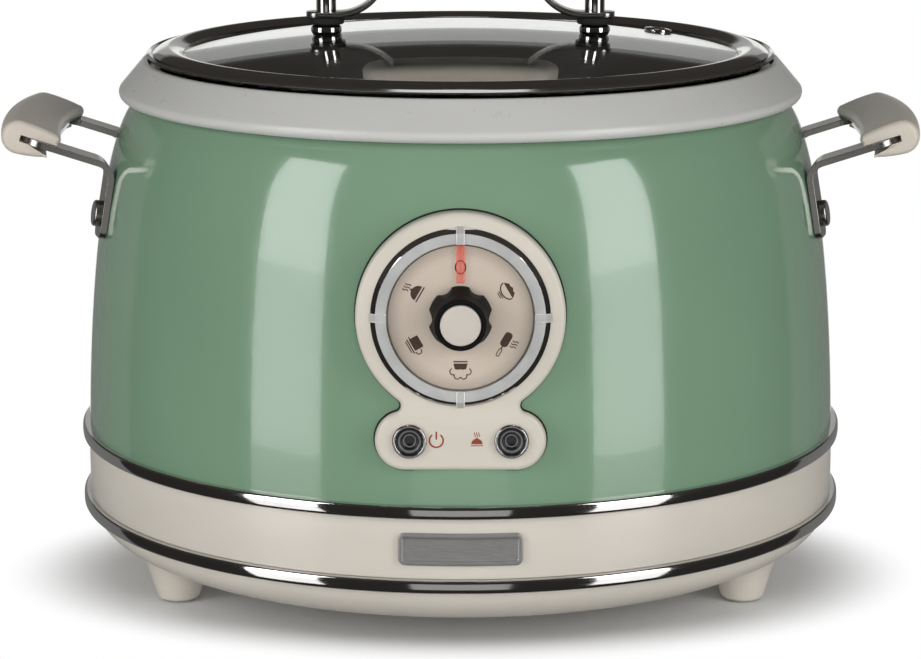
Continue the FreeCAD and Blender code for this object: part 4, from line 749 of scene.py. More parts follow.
class CookerBase(bpy.types.Operator):
    """Makes the pan with its feet, the band, the polished rings and the bare badge plate"""
    bl_idname = "cooker.base"
    bl_label = "Base"

    def execute(self, context):
        self.make_rings()
        self.make_band()
        self.make_pan()
        self.make_pads()
        self.make_badge()
        return {"FINISHED"}

    def make_rings(self):
        """Each ring's section, with soft edges and a face that bows a little, turned about the axis."""
        outer, tall = size("ring_radius"), size("ring_height")
        inner, bow, edge = size("band_radius") - 2.0, 0.35, 1.1
        lower, upper = size("band_z") - tall, size("band_z") + size("band_tall")
        for name, low in (("lower", lower), ("upper", upper)):
            high = low + tall
            section = rounded([(inner, low), (outer - bow, low, edge), (outer, (low + high) / 2, 9.0),
                               (outer - bow, high, edge), (inner, high)], 7)
            piece("polished_" + name, lathe(section, 360), "chrome", "body",
                  [name + "_trim_ring"])

    def make_band(self):
        """An upright ring with small bevels."""
        outer, low, high = size("band_radius"), size("band_z"), size("band_z") + size("band_tall")
        inner, shelf, under, soft = outer - 2.4, outer - 16.4, high - 3.0, 0.4
        section = rounded([(inner, low), (outer, low, soft), (outer, high, soft), (shelf, high),
                           (shelf, under), (inner, under)], 4)
        piece("band", lathe(section, 288), "cream", "body", ["base_band"])

    def pan_curve(self):
        """The pan's outer line: a quarter ellipse from the lower ring to the flat bottom."""
        top, low = size("band_z") - size("ring_height"), size("pan_z")
        outer, reach = size("band_radius") - 1.2, 46.0
        hold = 0.5523
        return bezier([(outer, top), (outer, top - hold * (top - low)),
                       (outer - reach + hold * reach, low), (outer - reach, low)], 40)

    def pan_height(self, radius):
        """Height of the pan's outer face at each radius."""
        curve = self.pan_curve()[::-1]
        return np.interp(radius, curve[:, 0], curve[:, 1])

    def make_pan(self):
        """The pan turned about the axis, with air slots cut in rows of its flat bottom, and four feet drawn
        out of it."""
        slot_middle, slot_half, slot_wide, slot_every = 72.0, 13.2, 1.6, 30.0
        flat = np.linspace(104.9, 0.0, 36)
        profile = np.concatenate([self.pan_curve(), lifted(flat, size("pan_z"))])
        points, faces = lathe(profile, 360, closed=False)
        middles = points[faces].mean(1) - UPRIGHT[0]
        radius, angle = np.hypot(middles[:, 0], middles[:, 1]), np.degrees(bearing(middles))
        off = np.abs((angle + slot_every / 2) % slot_every - slot_every / 2)
        slot = (np.abs(radius - slot_middle) < slot_half) & (off < slot_wide)
        piece("pan", (points, faces[~slot]), "cream", "body", ["base_pan"], layers=[thick(2.5)])
        feet = [self.foot(x, y) for x, y in self.foot_places()]
        piece("feet", joined(feet), "cream", "body")

    def foot_places(self):
        """The places of the four feet, from the upright axis."""
        return [(side * size("foot_x"), depth * size("foot_y")) for side in (-1, 1) for depth in (-1, 1)]

    def foot(self, x, y):
        """One foot: for each angle, a smooth curve from the pan's face, down along a cone, round to a flat
        end. point = (1-t)^2 A + 2t(1-t) B + t^2 C, with A on the pan, B where the cone would meet it and C
        on the cone."""
        count, draft, flare, cone_z, end_z, end_r = 72, 15.0, 3.5, 7.0, 1.2, 8.5
        out, slope = ray(round_angles(count)), np.tan(np.radians(draft))

        def on_pan(radius):
            """Height of the pan at a distance from the foot's axis, for each angle."""
            flat = np.array([x, y]) + out * np.asarray(radius)[:, None]
            return self.pan_height(np.hypot(flat[:, 0], flat[:, 1]))

        meet = np.full(count, 13.0)
        for _ in range(8):
            meet = end_r + (on_pan(meet) - end_z) * slope
        wide = meet + flare
        start = lifted(wide, on_pan(wide) + 0.25)
        bend = lifted(meet, on_pan(meet))
        stop = np.array([end_r + (cone_z - end_z) * slope, cone_z])
        share = np.linspace(0, 1, 14)
        drawn = [(1 - t) ** 2 * start + 2 * t * (1 - t) * bend + t ** 2 * stop for t in share]
        edge = [(end_r + 1.3 * slope, end_z + 1.3), (end_r, end_z + 0.5), (end_r - 0.5, end_z),
                (0.01, end_z)]
        drawn += [np.tile(pair, (count, 1)) for pair in edge]
        rings = [lifted(np.array([x, y]) + out * ring[:, :1], ring[:, 1]) for ring in drawn]
        return skin(rings, UPRIGHT, (False, True))

    def make_pads(self):
        """Low rubber discs with a soft edge, let into the feet."""
        radius, tall = 6.8, 2.4
        section = rounded([(0.0, 0.0), (radius, 0.0, 0.6), (radius, tall, 0.3), (0.0, tall)], 5)
        pads = [lathe(section, 48, upright(x, y)) for x, y in self.foot_places()]
        piece("pads", joined(pads), "rubber_grey", "body", ["foot_pads"])

    def on_band(self, turn, height, z):
        """Points at a height over the band's circle of radius r: ((r + h) sin a, -(r + h) cos a, z)."""
        radius = size("band_radius") + height
        return np.stack([radius * np.sin(turn), -radius * np.cos(turn), z], -1)

    def make_badge(self):
        """A bare plate bent round the band: bevelled edge, raised border and sunk field.
        Flat points (u, v) go to angle u / r on the band's circle."""
        wide, tall, corner, bend_steps, side_steps = 46.0, 12.2, 2.5, 12, 60
        steps = [(0.0, 0.1), (0.0, 1.1), (0.12, 1.38), (0.4, 1.5), (1.35, 1.5), (1.6, 1.38), (1.9, 1.05),
                 (2.1, 1.0)]
        middle = size("band_z") + size("band_tall") / 2
        rings = []
        for inset, height in steps:
            corners = pill(wide, tall, corner, inset, bend_steps).reshape(4, bend_steps, 2)
            above = np.linspace(corners[1, -1], corners[2, 0], side_steps)[1:-1]
            below = np.linspace(corners[3, -1], corners[0, 0], side_steps)[1:-1]
            flat = np.concatenate([corners[0], corners[1], above, corners[2], corners[3], below])
            rings.append(self.on_band(flat[:, 0] / size("band_radius"), height, middle + flat[:, 1]))
        turn = flat[:, 0] / size("band_radius")
        for share in (0.75, 0.5, 0.25, 0.02):
            rings.append(self.on_band(turn, height, middle + flat[:, 1] * share))
        piece("badge", skin(rings), "badge", "body", ["badge_plate"])


class CookerHandles(bpy.types.Operator):
    """Makes the brackets, grips and rivets of the two side handles"""
    bl_idname = "cooker.handles"
    bl_label = "Side Handles"

    def execute(self, context):
        for side, name in ((1, "right"), (-1, "left")):
            softened(name + "_bracket", name + "_handle_bracket", "steel", "body", 0.45)
            points, faces = self.grip()
            points[:, 0] *= side
            piece(name + "_grip", (points, faces), "grip", "body", [name + "_handle_grip"])
        self.make_rivets()
        return {"FINISHED"}

    def section(self, shift):
        """Section of a grip, a C whose slot holds the bracket, with its edges moved in by shift."""
        nose, jaw, lower = 12.0 - shift, -11.5 - shift, -7.0 - shift
        half, slot, root, land, mouth = 6.8, 1.35, 1.1, -3.0, 3.4
        outside = [
            arc((jaw + 1.0, slot), (jaw + 0.3, slot + 1.9), (jaw + 3.2, half - 0.9), 10),
            arc((jaw + 3.2, half - 0.9), (jaw + 9.0, half - 0.2), (nose - half, half), 14)[1:],
            arc((nose - half, half), (nose, 0.0), (nose - half, -half), 28)[1:],
            arc((nose - half, -half), (lower + 5.0, -half + 0.9), (lower, -mouth - 1.2), 14)[1:],
        ]
        inside = [
            arc((lower, -mouth - 1.2), (lower - 0.5, -mouth - 0.5), (lower + 0.1, -mouth), 6)[1:],
            arc((lower + 0.1, -mouth), ((lower + land) / 2, -(mouth + slot) / 2 - 0.3), (land, -slot),
                8)[1:],
            np.array([(root, -slot), (root, slot)]),
        ]
        line = np.concatenate(outside + inside)
        share = np.zeros(len(line))
        share[1:sum(map(len, outside)) - 1] = 1.0
        return line, share

    def grip(self):
        """The section carried along the grip. It moves in towards both ends as a parabola, and draws in
        along its own normals over the last few millimetres as a quarter circle, so the ends are round."""
        half, soft, sweep, slope = 42.0, 2.6, 3.6, np.radians(17.5)
        middle = np.linspace(-half + soft, half - soft, 41)
        turn = np.linspace(0, np.pi / 2, 8)[:-1]
        ends = half - soft + soft * np.sin(np.pi / 2 - turn)
        along = np.concatenate([-ends, middle, ends[::-1]])
        over = np.clip((np.abs(along) - (half - soft)) / soft, 0, 1)
        draw = soft * (1 - np.sqrt(1 - over ** 2)) * 0.8
        cos, sin = np.cos(slope), np.sin(slope)
        place = (np.array([size("grip_x"), AXIS_Y, size("grip_z")]),
                 np.array([[cos, 0, sin], [0, 1, 0], [-sin, 0, cos]]))
        rings = []
        for y, inset in zip(along, draw):
            flat, share = self.section(sweep * (y / half) ** 2)
            run = np.roll(flat, -1, 0) - np.roll(flat, 1, 0)
            far = np.maximum(np.linalg.norm(run, axis=1), 1e-9)[:, None]
            normal = np.stack([-run[:, 1], run[:, 0]], -1) / far
            rings.append(np.insert(flat - normal * (inset * share)[:, None], 1, y, axis=1))
        return skin(rings, place)

    def make_rivets(self):
        """Flat round heads with soft edges, square to the wall at each bracket leg."""
        height = size("rivet_z")
        radius = float(wall_radius(height))
        lean = float(np.arctan2(wall_radius(height - 0.5) - wall_radius(height + 0.5), 1.0))
        section = rounded([(0.0, 2.0), (5.2, 2.0, 0.1), (5.2, 5.6, 1.0), (0.0, 5.6)], 7)
        heads = []
        for azimuth in (1, -1):
            turn = azimuth * np.arcsin(size("arm_y") / radius)
            for side in (1, -1):
                aside = np.array([side * np.cos(turn), np.sin(turn), 0.0])
                out = np.cos(lean) * aside + [0.0, 0.0, np.sin(lean)]
                along = np.array([-side * np.sin(turn), np.cos(turn), 0.0])
                middle = radius * aside + [0.0, AXIS_Y, height]
                heads.append(lathe(section, 64, (middle, np.array([along, np.cross(out, along), out]))))
        piece("rivets", joined(heads), "steel_spun", "body", ["handle_rivets"])


# Signs, drawn about their own middle, in millimetres

def circle(x, y, radius, start=0.0, stop=360.0, steps=40):
    """Part of a circle between two angles in degrees."""
    return np.array([x, y]) + radius * ray(np.radians(np.linspace(start, stop, steps)))


def filled(line):
    """A flat face inside a line."""
    return np.asarray(line, float), [list(range(len(line)))]


def steam(x, low, tall, sway):
    """A wavy upright line: (x + s sin(2 pi t), low + tall t)."""
    t = np.linspace(0, 1, 14)
    return np.stack([x + sway * np.sin(2 * np.pi * t), low + tall * t], -1)


def cloche_sign():
    """A serving dome with three lines of steam."""
    dome = np.concatenate([circle(0, -1.2, 2.1, 0, 180), [(-2.1, -1.2)]])
    parts = [filled(dome), ribbon([(-2.3, -1.75), (2.3, -1.75)], 0.36), filled(circle(0, 1.0, 0.32))]
    parts += [ribbon(steam(x, 1.5, 1.7, 0.2), 0.3) for x in (-0.8, 0.0, 0.8)]
    return joined(parts)


def zero_sign():
    """An upright oval stroke."""
    return ribbon(circle(0, 0, 1.0, steps=49) * [1.35, 1.75], 0.42)


def bowl_sign():
    """A bowl of rice on its foot."""
    turn = np.radians(np.linspace(0, 180, 50))
    heap = np.stack([2.3 * np.cos(turn), (1.35 + 0.16 * np.sin(9 * turn)) * np.sin(turn) + 0.25], -1)
    bowl = np.stack([2.4 * np.cos(turn + np.pi), 1.75 * np.sin(turn + np.pi) + 0.15], -1)
    feet = [ribbon([(-1.1, -2.0), (1.1, -2.0)], 0.28), ribbon([(-0.8, -2.5), (0.8, -2.5)], 0.28)]
    return joined([filled(heap), ribbon(bowl, 0.36)] + feet)


def pan_sign():
    """A frying pan with steam."""
    body = pill(4.2, 2.2, 0.9, 0.0, 6) + [-1.0, -0.6]
    handle = pill(2.2, 0.8, 0.38, 0.0, 6) + [3.0, -0.6]
    outline = np.concatenate([handle, handle[:1]])
    parts = [filled(body), ribbon([(1.0, -0.6), (2.0, -0.6)], 0.4), ribbon(outline, 0.26)]
    parts += [ribbon(steam(x, 1.0, 1.7, 0.22), 0.3) for x in (-1.7, -0.9, -0.1)]
    return joined(parts)


def steamer_sign():
    """A pot under a cloud of steam."""
    pot = np.array([(-1.5, -0.4), (-1.9, -2.0), (1.9, -2.0), (1.5, -0.4)])
    puffs = [(-2.0, 0.2, 0.85, 60, 250), (-0.85, 1.35, 0.85, 20, 200), (0.85, 1.35, 0.85, -20, 160),
             (2.0, 0.2, 0.85, -70, 120), (0.0, 0.0, 0.8, 200, 340)]
    steam_lines = [ribbon(circle(*puff), 0.3) for puff in puffs]
    return joined([filled(pot), ribbon([(-1.9, -2.5), (1.9, -2.5)], 0.36)] + steam_lines)


def saucepan_sign():
    """A saucepan with its lid line and a loop handle."""
    body = pill(3.5, 2.6, 0.25, 0.0, 4) + [0.0, -0.5]
    loop = circle(-2.3, 0.0, 0.75, 70, 290)
    return joined([filled(body), ribbon([(-2.3, 1.25), (2.1, 1.25)], 0.34),
                   ribbon([(-1.75, 1.8), (1.75, 1.8)], 0.3), ribbon(loop, 0.3),
                   ribbon([(1.7, 0.5), (2.5, 0.5)], 0.3)])


def power_sign():
    """A ring open at the top, with an upright stroke."""
    return joined([ribbon(circle(0, 0, 2.25, 125, 415, 60), 0.55), ribbon([(0, 0.3), (0, 2.9)], 0.55)])


class CookerPanel(bpy.types.Operator):
    """Makes the control panel with its two lamps and the signs beside them"""
    bl_idname = "cooker.panel"
    bl_label = "Control Panel"

    def execute(self, context):
        self.make_fascia()
        self.make_lamps()
        self.make_signs()
        return {"FINISHED"}

    def seat(self, flat):
        """Height in the panel's axes at which each point of a flat outline meets the wall, found by
        halving."""
        place = panel_place()
        low, high = np.full(len(flat), -30.0), np.full(len(flat), 0.0)
        for _ in range(40):
            middle = (low + high) / 2
            at = put(lifted(flat, middle), place)
            out = np.hypot(at[:, 0], at[:, 1] - AXIS_Y) > wall_radius(at[:, 2]) + 0.1
            low, high = np.where(out, low, middle), np.where(out, middle, high)
        return high

    def make_fascia(self):
        """The keyhole outline from the wall to its rounded front edge, a flat face with holes, and the wells
        of the dial and the lamps. A thin black band on the wall round the panel's foot is painted shadow,
        for the shadow of the gap where the panel meets the wall."""
        place, soft, gap, draw = panel_place(), 2.0, 0.7, 0.6
        outline, under = keyhole(0.0), keyhole(draw)
        foot = self.seat(outline) + gap
        rings = [lifted(under, self.seat(under)), lifted(under, foot), lifted(keyhole(0.15), foot),
                 lifted(outline, foot + 0.2)]
        rings += [lifted(keyhole(inset), drop) for inset, drop in edge_round(soft, 7)]
        sides = skin(rings, place, (False, False))
        holes = [circle(0, 0, DIAL_WELL, steps=121)[:-1]]
        holes += [circle(x, -size("bar_drop"), LAMP_BORE, steps=49)[:-1]
                  for x in (-size("lamp_x"), size("lamp_x"))]
        lines = [keyhole(soft)] + holes
        triangles = geometry.tessellate_polygon([[Vector((x, y, 0.0)) for x, y in line] for line in lines])
        face = put(lifted(np.concatenate(lines), 0.0), place), [list(one) for one in triangles]
        wells = [skin([lifted(line, 0.0), lifted(line, depth)], place, (False, True))
                 for line, depth in zip(holes, (-2.0, -4.5, -4.5))]
        piece("fascia", joined([sides, *wells, face]), "fascia", "body", ["control_fascia"])
        # Painted shadow: a thin black band in the black rubber finish, laid on the wall round the panel,
        # stands in for the shadow line at its foot.
        shadow_line_rings = [lifted(keyhole(inset), self.seat(keyhole(inset)) + lift)
                for inset, lift in ((0.5, 0.0), (0.5, 0.35), (-0.45, 0.35), (-0.55, 0.0))]
        piece("fascia_shadow_line", skin(shadow_line_rings, place, (False, False)), "rubber_black", "body")

    def make_lamps(self):
        """Each lamp: a polished flange that rolls into its bore, and a smoked lens that steps down to its
        middle."""
        origin, axes = panel_place()
        back = -6.0
        flange = rounded([(4.9, back), (LAMP_BORE, back), (LAMP_BORE, 0.0), (6.45, 0.0, 0.1),
                          (6.45, 1.0, 0.5), (5.9, 1.7, 0.35), (5.35, 1.7, 0.3), (4.9, 1.0, 0.4)], 6)
        lens = rounded([(0.0, back), (4.85, back), (4.85, 0.6, 0.2), (3.85, 0.6, 0.2), (3.85, -0.1, 0.15),
                        (2.85, -0.1, 0.2), (2.85, -0.8, 0.15), (1.85, -0.8, 0.2), (1.85, -1.5, 0.15),
                        (0.0, -1.5)], 4)
        for name, side in (("left", -1), ("right", 1)):
            middle = np.array([side * size("lamp_x"), -size("bar_drop"), 0.0])
            place = (origin + middle @ axes, axes)
            piece(name + "_bezel", lathe(flange, 72, place), "chrome", "body",
                  [name + "_lamp_bezel"])
            piece(name + "_lens", lathe(lens, 60, place), "lens", "body", [name + "_lamp_lens"])

    def make_signs(self):
        """A ring with a stroke beside the left lamp and a serving dome beside the right one."""
        signs = [(power_sign(), -8.85, 0.3, 1.12), (cloche_sign(), 6.0, 0.1, 1.0)]
        above, parts = 0.03, []
        for (points, faces), x, y, scale in signs:
            flat = points * scale + [x, y - size("bar_drop")]
            parts.append((put(lifted(flat, above), panel_place()), faces))
        piece("lamp_signs", joined(parts), "ink_red", "body", closed=False)


class CookerDial(bpy.types.Operator):
    """Makes the dial ring, its cursor, the printed dial and the knob"""
    bl_idname = "cooker.dial"
    bl_label = "Dial and Knob"

    def execute(self, context):
        self.make_ring()
        self.make_disc()
        self.make_signs()
        self.make_knob()
        return {"FINISHED"}

    def make_ring(self):
        """A flat satin ring with a polished bevel outside, four raised bridges, and the red strip under the
        top one."""
        place = panel_place()
        origin, axes = place
        top, edge, outer = 2.2, 30.95, 32.9
        flat = rounded([(DIAL_WELL, 0.0), (31.0, 0.0), (edge, top, 0.1), (DIAL_WELL, top, 0.3)], 5)
        piece("dial_ring_satin", lathe(flat, 240, place), "silver", "body", ["dial_ring"])
        bevel = rounded([(30.9, 0.0), (outer, 0.0), (outer, 0.4, 0.25), (edge, top, 0.25), (30.9, 2.0)], 5)
        piece("dial_ring_bevel", lathe(bevel, 240, place), "chrome", "body")
        shape = np.array([(26.95, 2.0), (26.95, 2.6), (31.1, 2.6), (33.4, 0.5), (33.4, 0.02), (32.0, 0.02)])
        rail = shape + np.array([(0, 0), (0, 0.1), (0.05, 0.1), (0.1, 0.05), (0.1, 0), (0, 0)])
        bars, rails, sunk = [], [], [0.0, 0.25]
        for turn in np.radians([0, 90, 180, 270]):
            out = np.array([np.sin(turn), np.cos(turn), 0.0])
            along = np.array([np.cos(turn), -np.sin(turn), 0.0])
            local = (origin, np.array([out, along, [0.0, 0.0, 1.0]]) @ axes)
            bars.append(self.bar(shape - sunk, -1.25, 1.25, local))
            rails += [self.bar(rail, -1.6, -1.15, local), self.bar(rail, 1.15, 1.6, local)]
        piece("dial_bridges", joined(bars), "silver", "body")
        # The rails' paler finish is a painted highlight on the bridges' polished edges.
        piece("dial_rails", joined(rails), "rail", "body", layers=[soft_edges(0.2, 4, 30)])
        strip = plate(lambda inset: pill(2.9, 15.4, 0.4, inset, 4) + [0.0, 20.5],
                      [(0.0, 1.3), (0.0, 1.8), (0.1, 1.9)], place)
        piece("cursor", strip, "cursor", "body", ["dial_cursor"])

    def bar(self, shape, low, high, place):
        """A bridge's section carried across the ring."""
        return skin([np.insert(shape, 1, y, axis=1) for y in (low, high)], place)

    def face_height(self, radius):
        """The dial's face: flat round the knob, rising to its rim."""
        rise = np.clip((np.asarray(radius, float) - 18.0) / 7.6, 0, 1)
        return 0.35 + 0.35 * rise ** 2

    def make_disc(self):
        """The dial's section turned about its axis: face, rim, flat back and bore."""
        rim, hub, bore, back, level = size("dial_radius"), 11.0, 3.05, -1.3, 0.35
        crest = rim - 0.9
        radius = np.linspace(hub, crest, 40)
        face = lifted(radius, self.face_height(radius))
        edge = rounded([(crest, 2 * level), (rim, 2 * level, 0.25), (rim, back), (bore, back), (bore, level),
                        (hub, level)], 5, closed=False)
        section = np.concatenate([face, edge[1:-1]])
        piece("dial_face", lathe(section, 200, panel_place()), "dial", "dial", ["dial_disc"])

    def make_signs(self):
        """Six signs round the dial, each with its top outwards, just above the face."""
        signs = [zero_sign(), bowl_sign(), pan_sign(), steamer_sign(), saucepan_sign(), cloche_sign()]
        scale = 1.36
        reach = [18.5, 19.6, 19.3, 19.6, 19.3, 19.3]
        parts = []
        for index, ((points, faces), out) in enumerate(zip(signs, reach)):
            turn = np.radians(60 * index)
            side, up = ray(-turn), ray(np.pi / 2 - turn)
            flat = scale * points[:, :1] * side + (scale * points[:, 1:] + out) * up
            height = self.face_height(np.hypot(flat[:, 0], flat[:, 1])) + 0.04
            parts.append((put(lifted(flat, height), panel_place()), faces))
        piece("dial_signs", joined(parts), "ink_brown", "dial", closed=False)

    def make_knob(self):
        """The knob's line turned about its axis, with six scallops: the radius is the soft least of the
        line's and the near side of six upright cylinders. A domed cap lies in its end."""
        place, foot = panel_place(), size("knob_radius")
        line = rounded([(11.0, 0.45), (foot, 0.45, 0.3), (foot, 2.55, 0.5), (10.1, 11.5, 3.0),
                        (9.75, 14.3, 0.5), (9.35, 17.6, 0.4), (9.0, 18.4, 0.5), (7.9, 18.4, 0.4),
                        (7.5, 17.9, 0.2), (7.5, 16.4)], 6, closed=False)
        dense = np.linspace(0, 1, 90)
        run = np.concatenate([[0], np.cumsum(np.linalg.norm(np.diff(line, axis=0), axis=1))])
        line = np.column_stack([np.interp(dense, run / run[-1], line[:, axis]) for axis in (0, 1)])
        count, reach, bite, soft, clear = 240, 14.4, 4.2, 0.12, 20.0
        angle = round_angles(count)
        off = (angle + np.pi / 6) % (np.pi / 3) - np.pi / 6
        near = reach * np.cos(off) - np.sqrt(np.maximum(bite ** 2 - (reach * np.sin(off)) ** 2, 0))
        near = np.where(np.abs(reach * np.sin(off)) < bite, near, clear)
        radius = -soft * np.logaddexp(-line[:, :1] / soft, -near[None, :] / soft)
        points = np.stack([radius * np.cos(angle), radius * np.sin(angle), line[:, 1:] + 0 * angle], -1)
        surface = put(points.reshape(-1, 3), place), grid_faces(len(line), count)
        piece("knob", surface, "knob", "dial", ["selector_knob"])
        cap = rounded([(0.0, 16.3), (7.35, 16.3), (7.35, 19.2, 0.6), (4.3, 19.6, 6.0), (0.0, 19.7)], 8)
        piece("cap", lathe(cap, 96, place), "cap", "dial", ["knob_cap"])


class CookerPot(bpy.types.Operator):
    """Makes the removable pot"""
    bl_idname = "cooker.pot"
    bl_label = "Pot"

    def execute(self, context):
        """One drawn sheet turned about the axis: floor, round corner, slightly open wall, flange and raised
        lip."""
        low, high, wall = 93.4, 212.6, 1.3
        floor, flange, lip = low + wall, high + wall, (126.4, high + 1.6)
        outside = rounded([(0.0, low), (114.3, low, 13.0), (117.6, high, 3.0), (124.9, high, 1.0), lip],
                          9, closed=False)
        inside = rounded([lip, (125.4, high + 2.4), (124.4, flange, 1.0), (116.3, flange, 4.3),
                          (113.0, floor, 11.7), (0.0, floor)], 9, closed=False)
        section = np.concatenate([outside, inside[1:]])
        piece("pot", lathe(section, 288), "pot", "pot", ["cooking_pot"])
        return {"FINISHED"}


GLASS_TOP, GLASS_EDGE, GLASS_RISE = 223.0, 111.2, 8.55
GLASS_BALL = (GLASS_EDGE ** 2 + GLASS_RISE ** 2) / (2 * GLASS_RISE)


def dome(radius, drop=0.0):
    """Height of the lid's glass at each radius, on a sphere moved down by drop."""
    ball = GLASS_BALL - drop
    return GLASS_TOP - GLASS_BALL + np.sqrt(ball ** 2 - np.asarray(radius, float) ** 2)


def dome_place(x, y):
    """Frame on the glass: z straight out of it."""
    radius = np.hypot(x, y)
    tilt, turn = np.arcsin(radius / GLASS_BALL), np.arctan2(y, x)
    out = np.array([np.sin(tilt) * np.cos(turn), np.sin(tilt) * np.sin(turn), np.cos(tilt)])
    across = np.array([-np.sin(turn), np.cos(turn), 0.0])
    return np.array([x, y + AXIS_Y, dome(radius)]), np.array([np.cross(across, out), across, out])


class CookerLid(bpy.types.Operator):
    """Makes the glass lid, its polished rim and its steam eyelet"""
    bl_idname = "cooker.lid"
    bl_label = "Lid"

    def execute(self, context):
        self.make_glass()
        self.make_rim()
        self.make_vent()
        return {"FINISHED"}

    def make_glass(self):
        """A piece of a sphere with even thickness, turned about the axis."""
        edge, thickness = 114.5, 4.0
        radius = np.linspace(0.0, edge, 48)
        upper, under = lifted(radius, dome(radius)), lifted(radius, dome(radius, thickness))
        piece("glass", lathe(np.concatenate([upper, under[::-1]]), 240), "glass", "lid",
              ["lid_glass"])

    def make_rim(self):
        """A rolled channel: outer flange, full crest, an edge that turns down on the glass, and a skirt
        inside."""
        seat, crest, outer, ridge, skirt, wall = 214.2, 217.2, 123.6, 117.4, 114.55, 115.7
        inner = float(dome(GLASS_EDGE))
        top = np.concatenate([
            arc((outer, seat + 0.5), (120.9, crest - 1.0), (ridge, crest), 16),
            arc((ridge, crest), (114.3, crest - 0.55), (GLASS_EDGE, inner + 0.45), 14)[1:],
        ])
        under = [(GLASS_EDGE, inner + 0.05), (skirt, float(dome(skirt)) + 0.05), (skirt, 209.9),
                 (GLASS_EDGE, 210.2), (GLASS_EDGE, 208.9), (wall, 208.9), (wall, seat), (123.3, seat),
                 (outer, seat + 0.25)]
        piece("rim", lathe(np.concatenate([top, under]), 320), "rim", "lid", ["lid_rim"])

    def make_vent(self):
        """A rolled eyelet, round its own axis."""
        section = rounded([(2.0, -5.1), (4.4, -5.1), (4.4, -4.1), (3.2, -4.1), (3.2, 0.1), (5.8, 0.1, 0.1),
                           (5.6, 1.1, 0.6), (3.8, 1.5, 0.8), (2.3, 1.2, 0.6), (2.0, 0.0)], 6)
        piece("vent", lathe(section, 72, dome_place(82.0, 40.0)), "chrome", "lid",
              ["lid_vent"])


class CookerLidHandle(bpy.types.Operator):
    """Makes the strap, grip, ferrules, washers and nuts of the lid handle"""
    bl_idname = "cooker.lid_handle"
    bl_label = "Lid Handle"
    washer_top = 6.8
    strap_gauge = 2.2
    strap_rise = 22.0

    def execute(self, context):
        low = float(dome(size("post_x")))
        strap = low + self.washer_top + self.strap_gauge / 2
        self.make_posts(low)
        self.make_strap(strap)
        self.make_grip(strap + self.strap_rise)
        return {"FINISHED"}

    def make_posts(self, low):
        """Turned pieces at both posts: a waisted ferrule, a black washer and a round nut over the strap."""
        foot, bore = float(dome(size("post_x") + 6.2)) + 0.1, 2.3
        neck, seat, nut, end = low + 4.0, low + self.washer_top, low + 9.0, low + 17.5
        pieces = [
            ("ferrules", [(bore, foot), (5.4, foot, 0.2), (6.2, foot + 1.5, 0.8), (6.1, low + 2.9, 0.6),
                          (4.8, neck, 0.3), (bore, neck)], 5, "chrome", "ferrule_chrome"),
            ("washers", [(bore, neck), (7.2, neck, 0.8), (7.2, seat, 0.8), (bore, seat)], 6, "rubber_black",
             "washer_rubber"),
            ("nuts", [(0.0, nut), (4.0, nut), (4.0, end, 1.2), (0.0, end)], 7, "chrome", "nut_chrome"),
        ]
        for name, corners, steps, finish, slot in pieces:
            section = rounded(corners, steps)
            both = [lathe(section, 64, upright(side * size("post_x"))) for side in (-1, 1)]
            piece("lid_handle_" + name, joined(both), finish, "lid", ["lid_" + name])

    def make_strap(self, low):
        """A flat bar's section carried along its bent line; its width closes as a circle at both ends."""
        post, turn, rise = size("post_x"), np.radians(60.0), self.strap_rise
        start, end, lower, upper, tip, full = post - 4.5, post + 8.0, 20.0, 8.0, 5.0, 12.0
        run = (rise - (lower + upper) * (1 - np.cos(turn))) / np.tan(turn) + (lower + upper) * np.sin(turn)
        first, second = np.linspace(0, turn, 16), np.linspace(turn, 0, 14)
        close = np.linspace(0, np.pi / 2, 9)
        foot = lifted(np.append(end - tip * (1 - np.cos(close)), [end - 8.0, start + 2]), low)
        bend = np.column_stack([start - lower * np.sin(first), low + lower * (1 - np.cos(first))])
        crown = np.column_stack([start - run + upper * np.sin(second),
                                 low + rise - upper * (1 - np.cos(second))])
        right = np.concatenate([foot, bend, crown, [(6.0, low + rise)]])
        line = np.concatenate([right, right[::-1] * [-1, 1]])
        ahead = np.gradient(line, axis=0)
        ahead /= np.linalg.norm(ahead, axis=1)[:, None]
        ahead[:len(foot)], ahead[-len(foot):] = (-1, 0), (-1, 0)
        normal = np.column_stack([-ahead[:, 1], ahead[:, 0]])
        normal *= np.sign(normal[:, 1:])
        over = np.clip((np.abs(line[:, 0]) - end + tip) / tip, 0, 1)
        wide = full - 2 * tip * (1 - np.sqrt(1 - over ** 2))
        rings = []
        for (x, z), (nx, nz), width in zip(line, normal, wide):
            flat = pill(width, self.strap_gauge, 0.5, 0.0, 4)
            rings.append(np.column_stack([x + nx * flat[:, 1], flat[:, 0], z + nz * flat[:, 1]]))
        piece("strap", skin(rings), "steel", "lid", ["lid_strap"])

    def make_grip(self, middle):
        """A soft bar: its outline drawn in along a quarter circle below and above."""
        below, above, soft = 7.0, 9.0, 5.5
        lower = [(inset, middle - below - drop) for inset, drop in edge_round(soft, 10)[::-1]]
        upper = [(inset, middle + above + drop) for inset, drop in edge_round(soft, 10)]
        bar = plate(lambda inset: pill(84.0, 26.0, 11.0, inset, 14), lower + upper)
        piece("lid_bar", bar, "grip", "lid", ["lid_grip"])


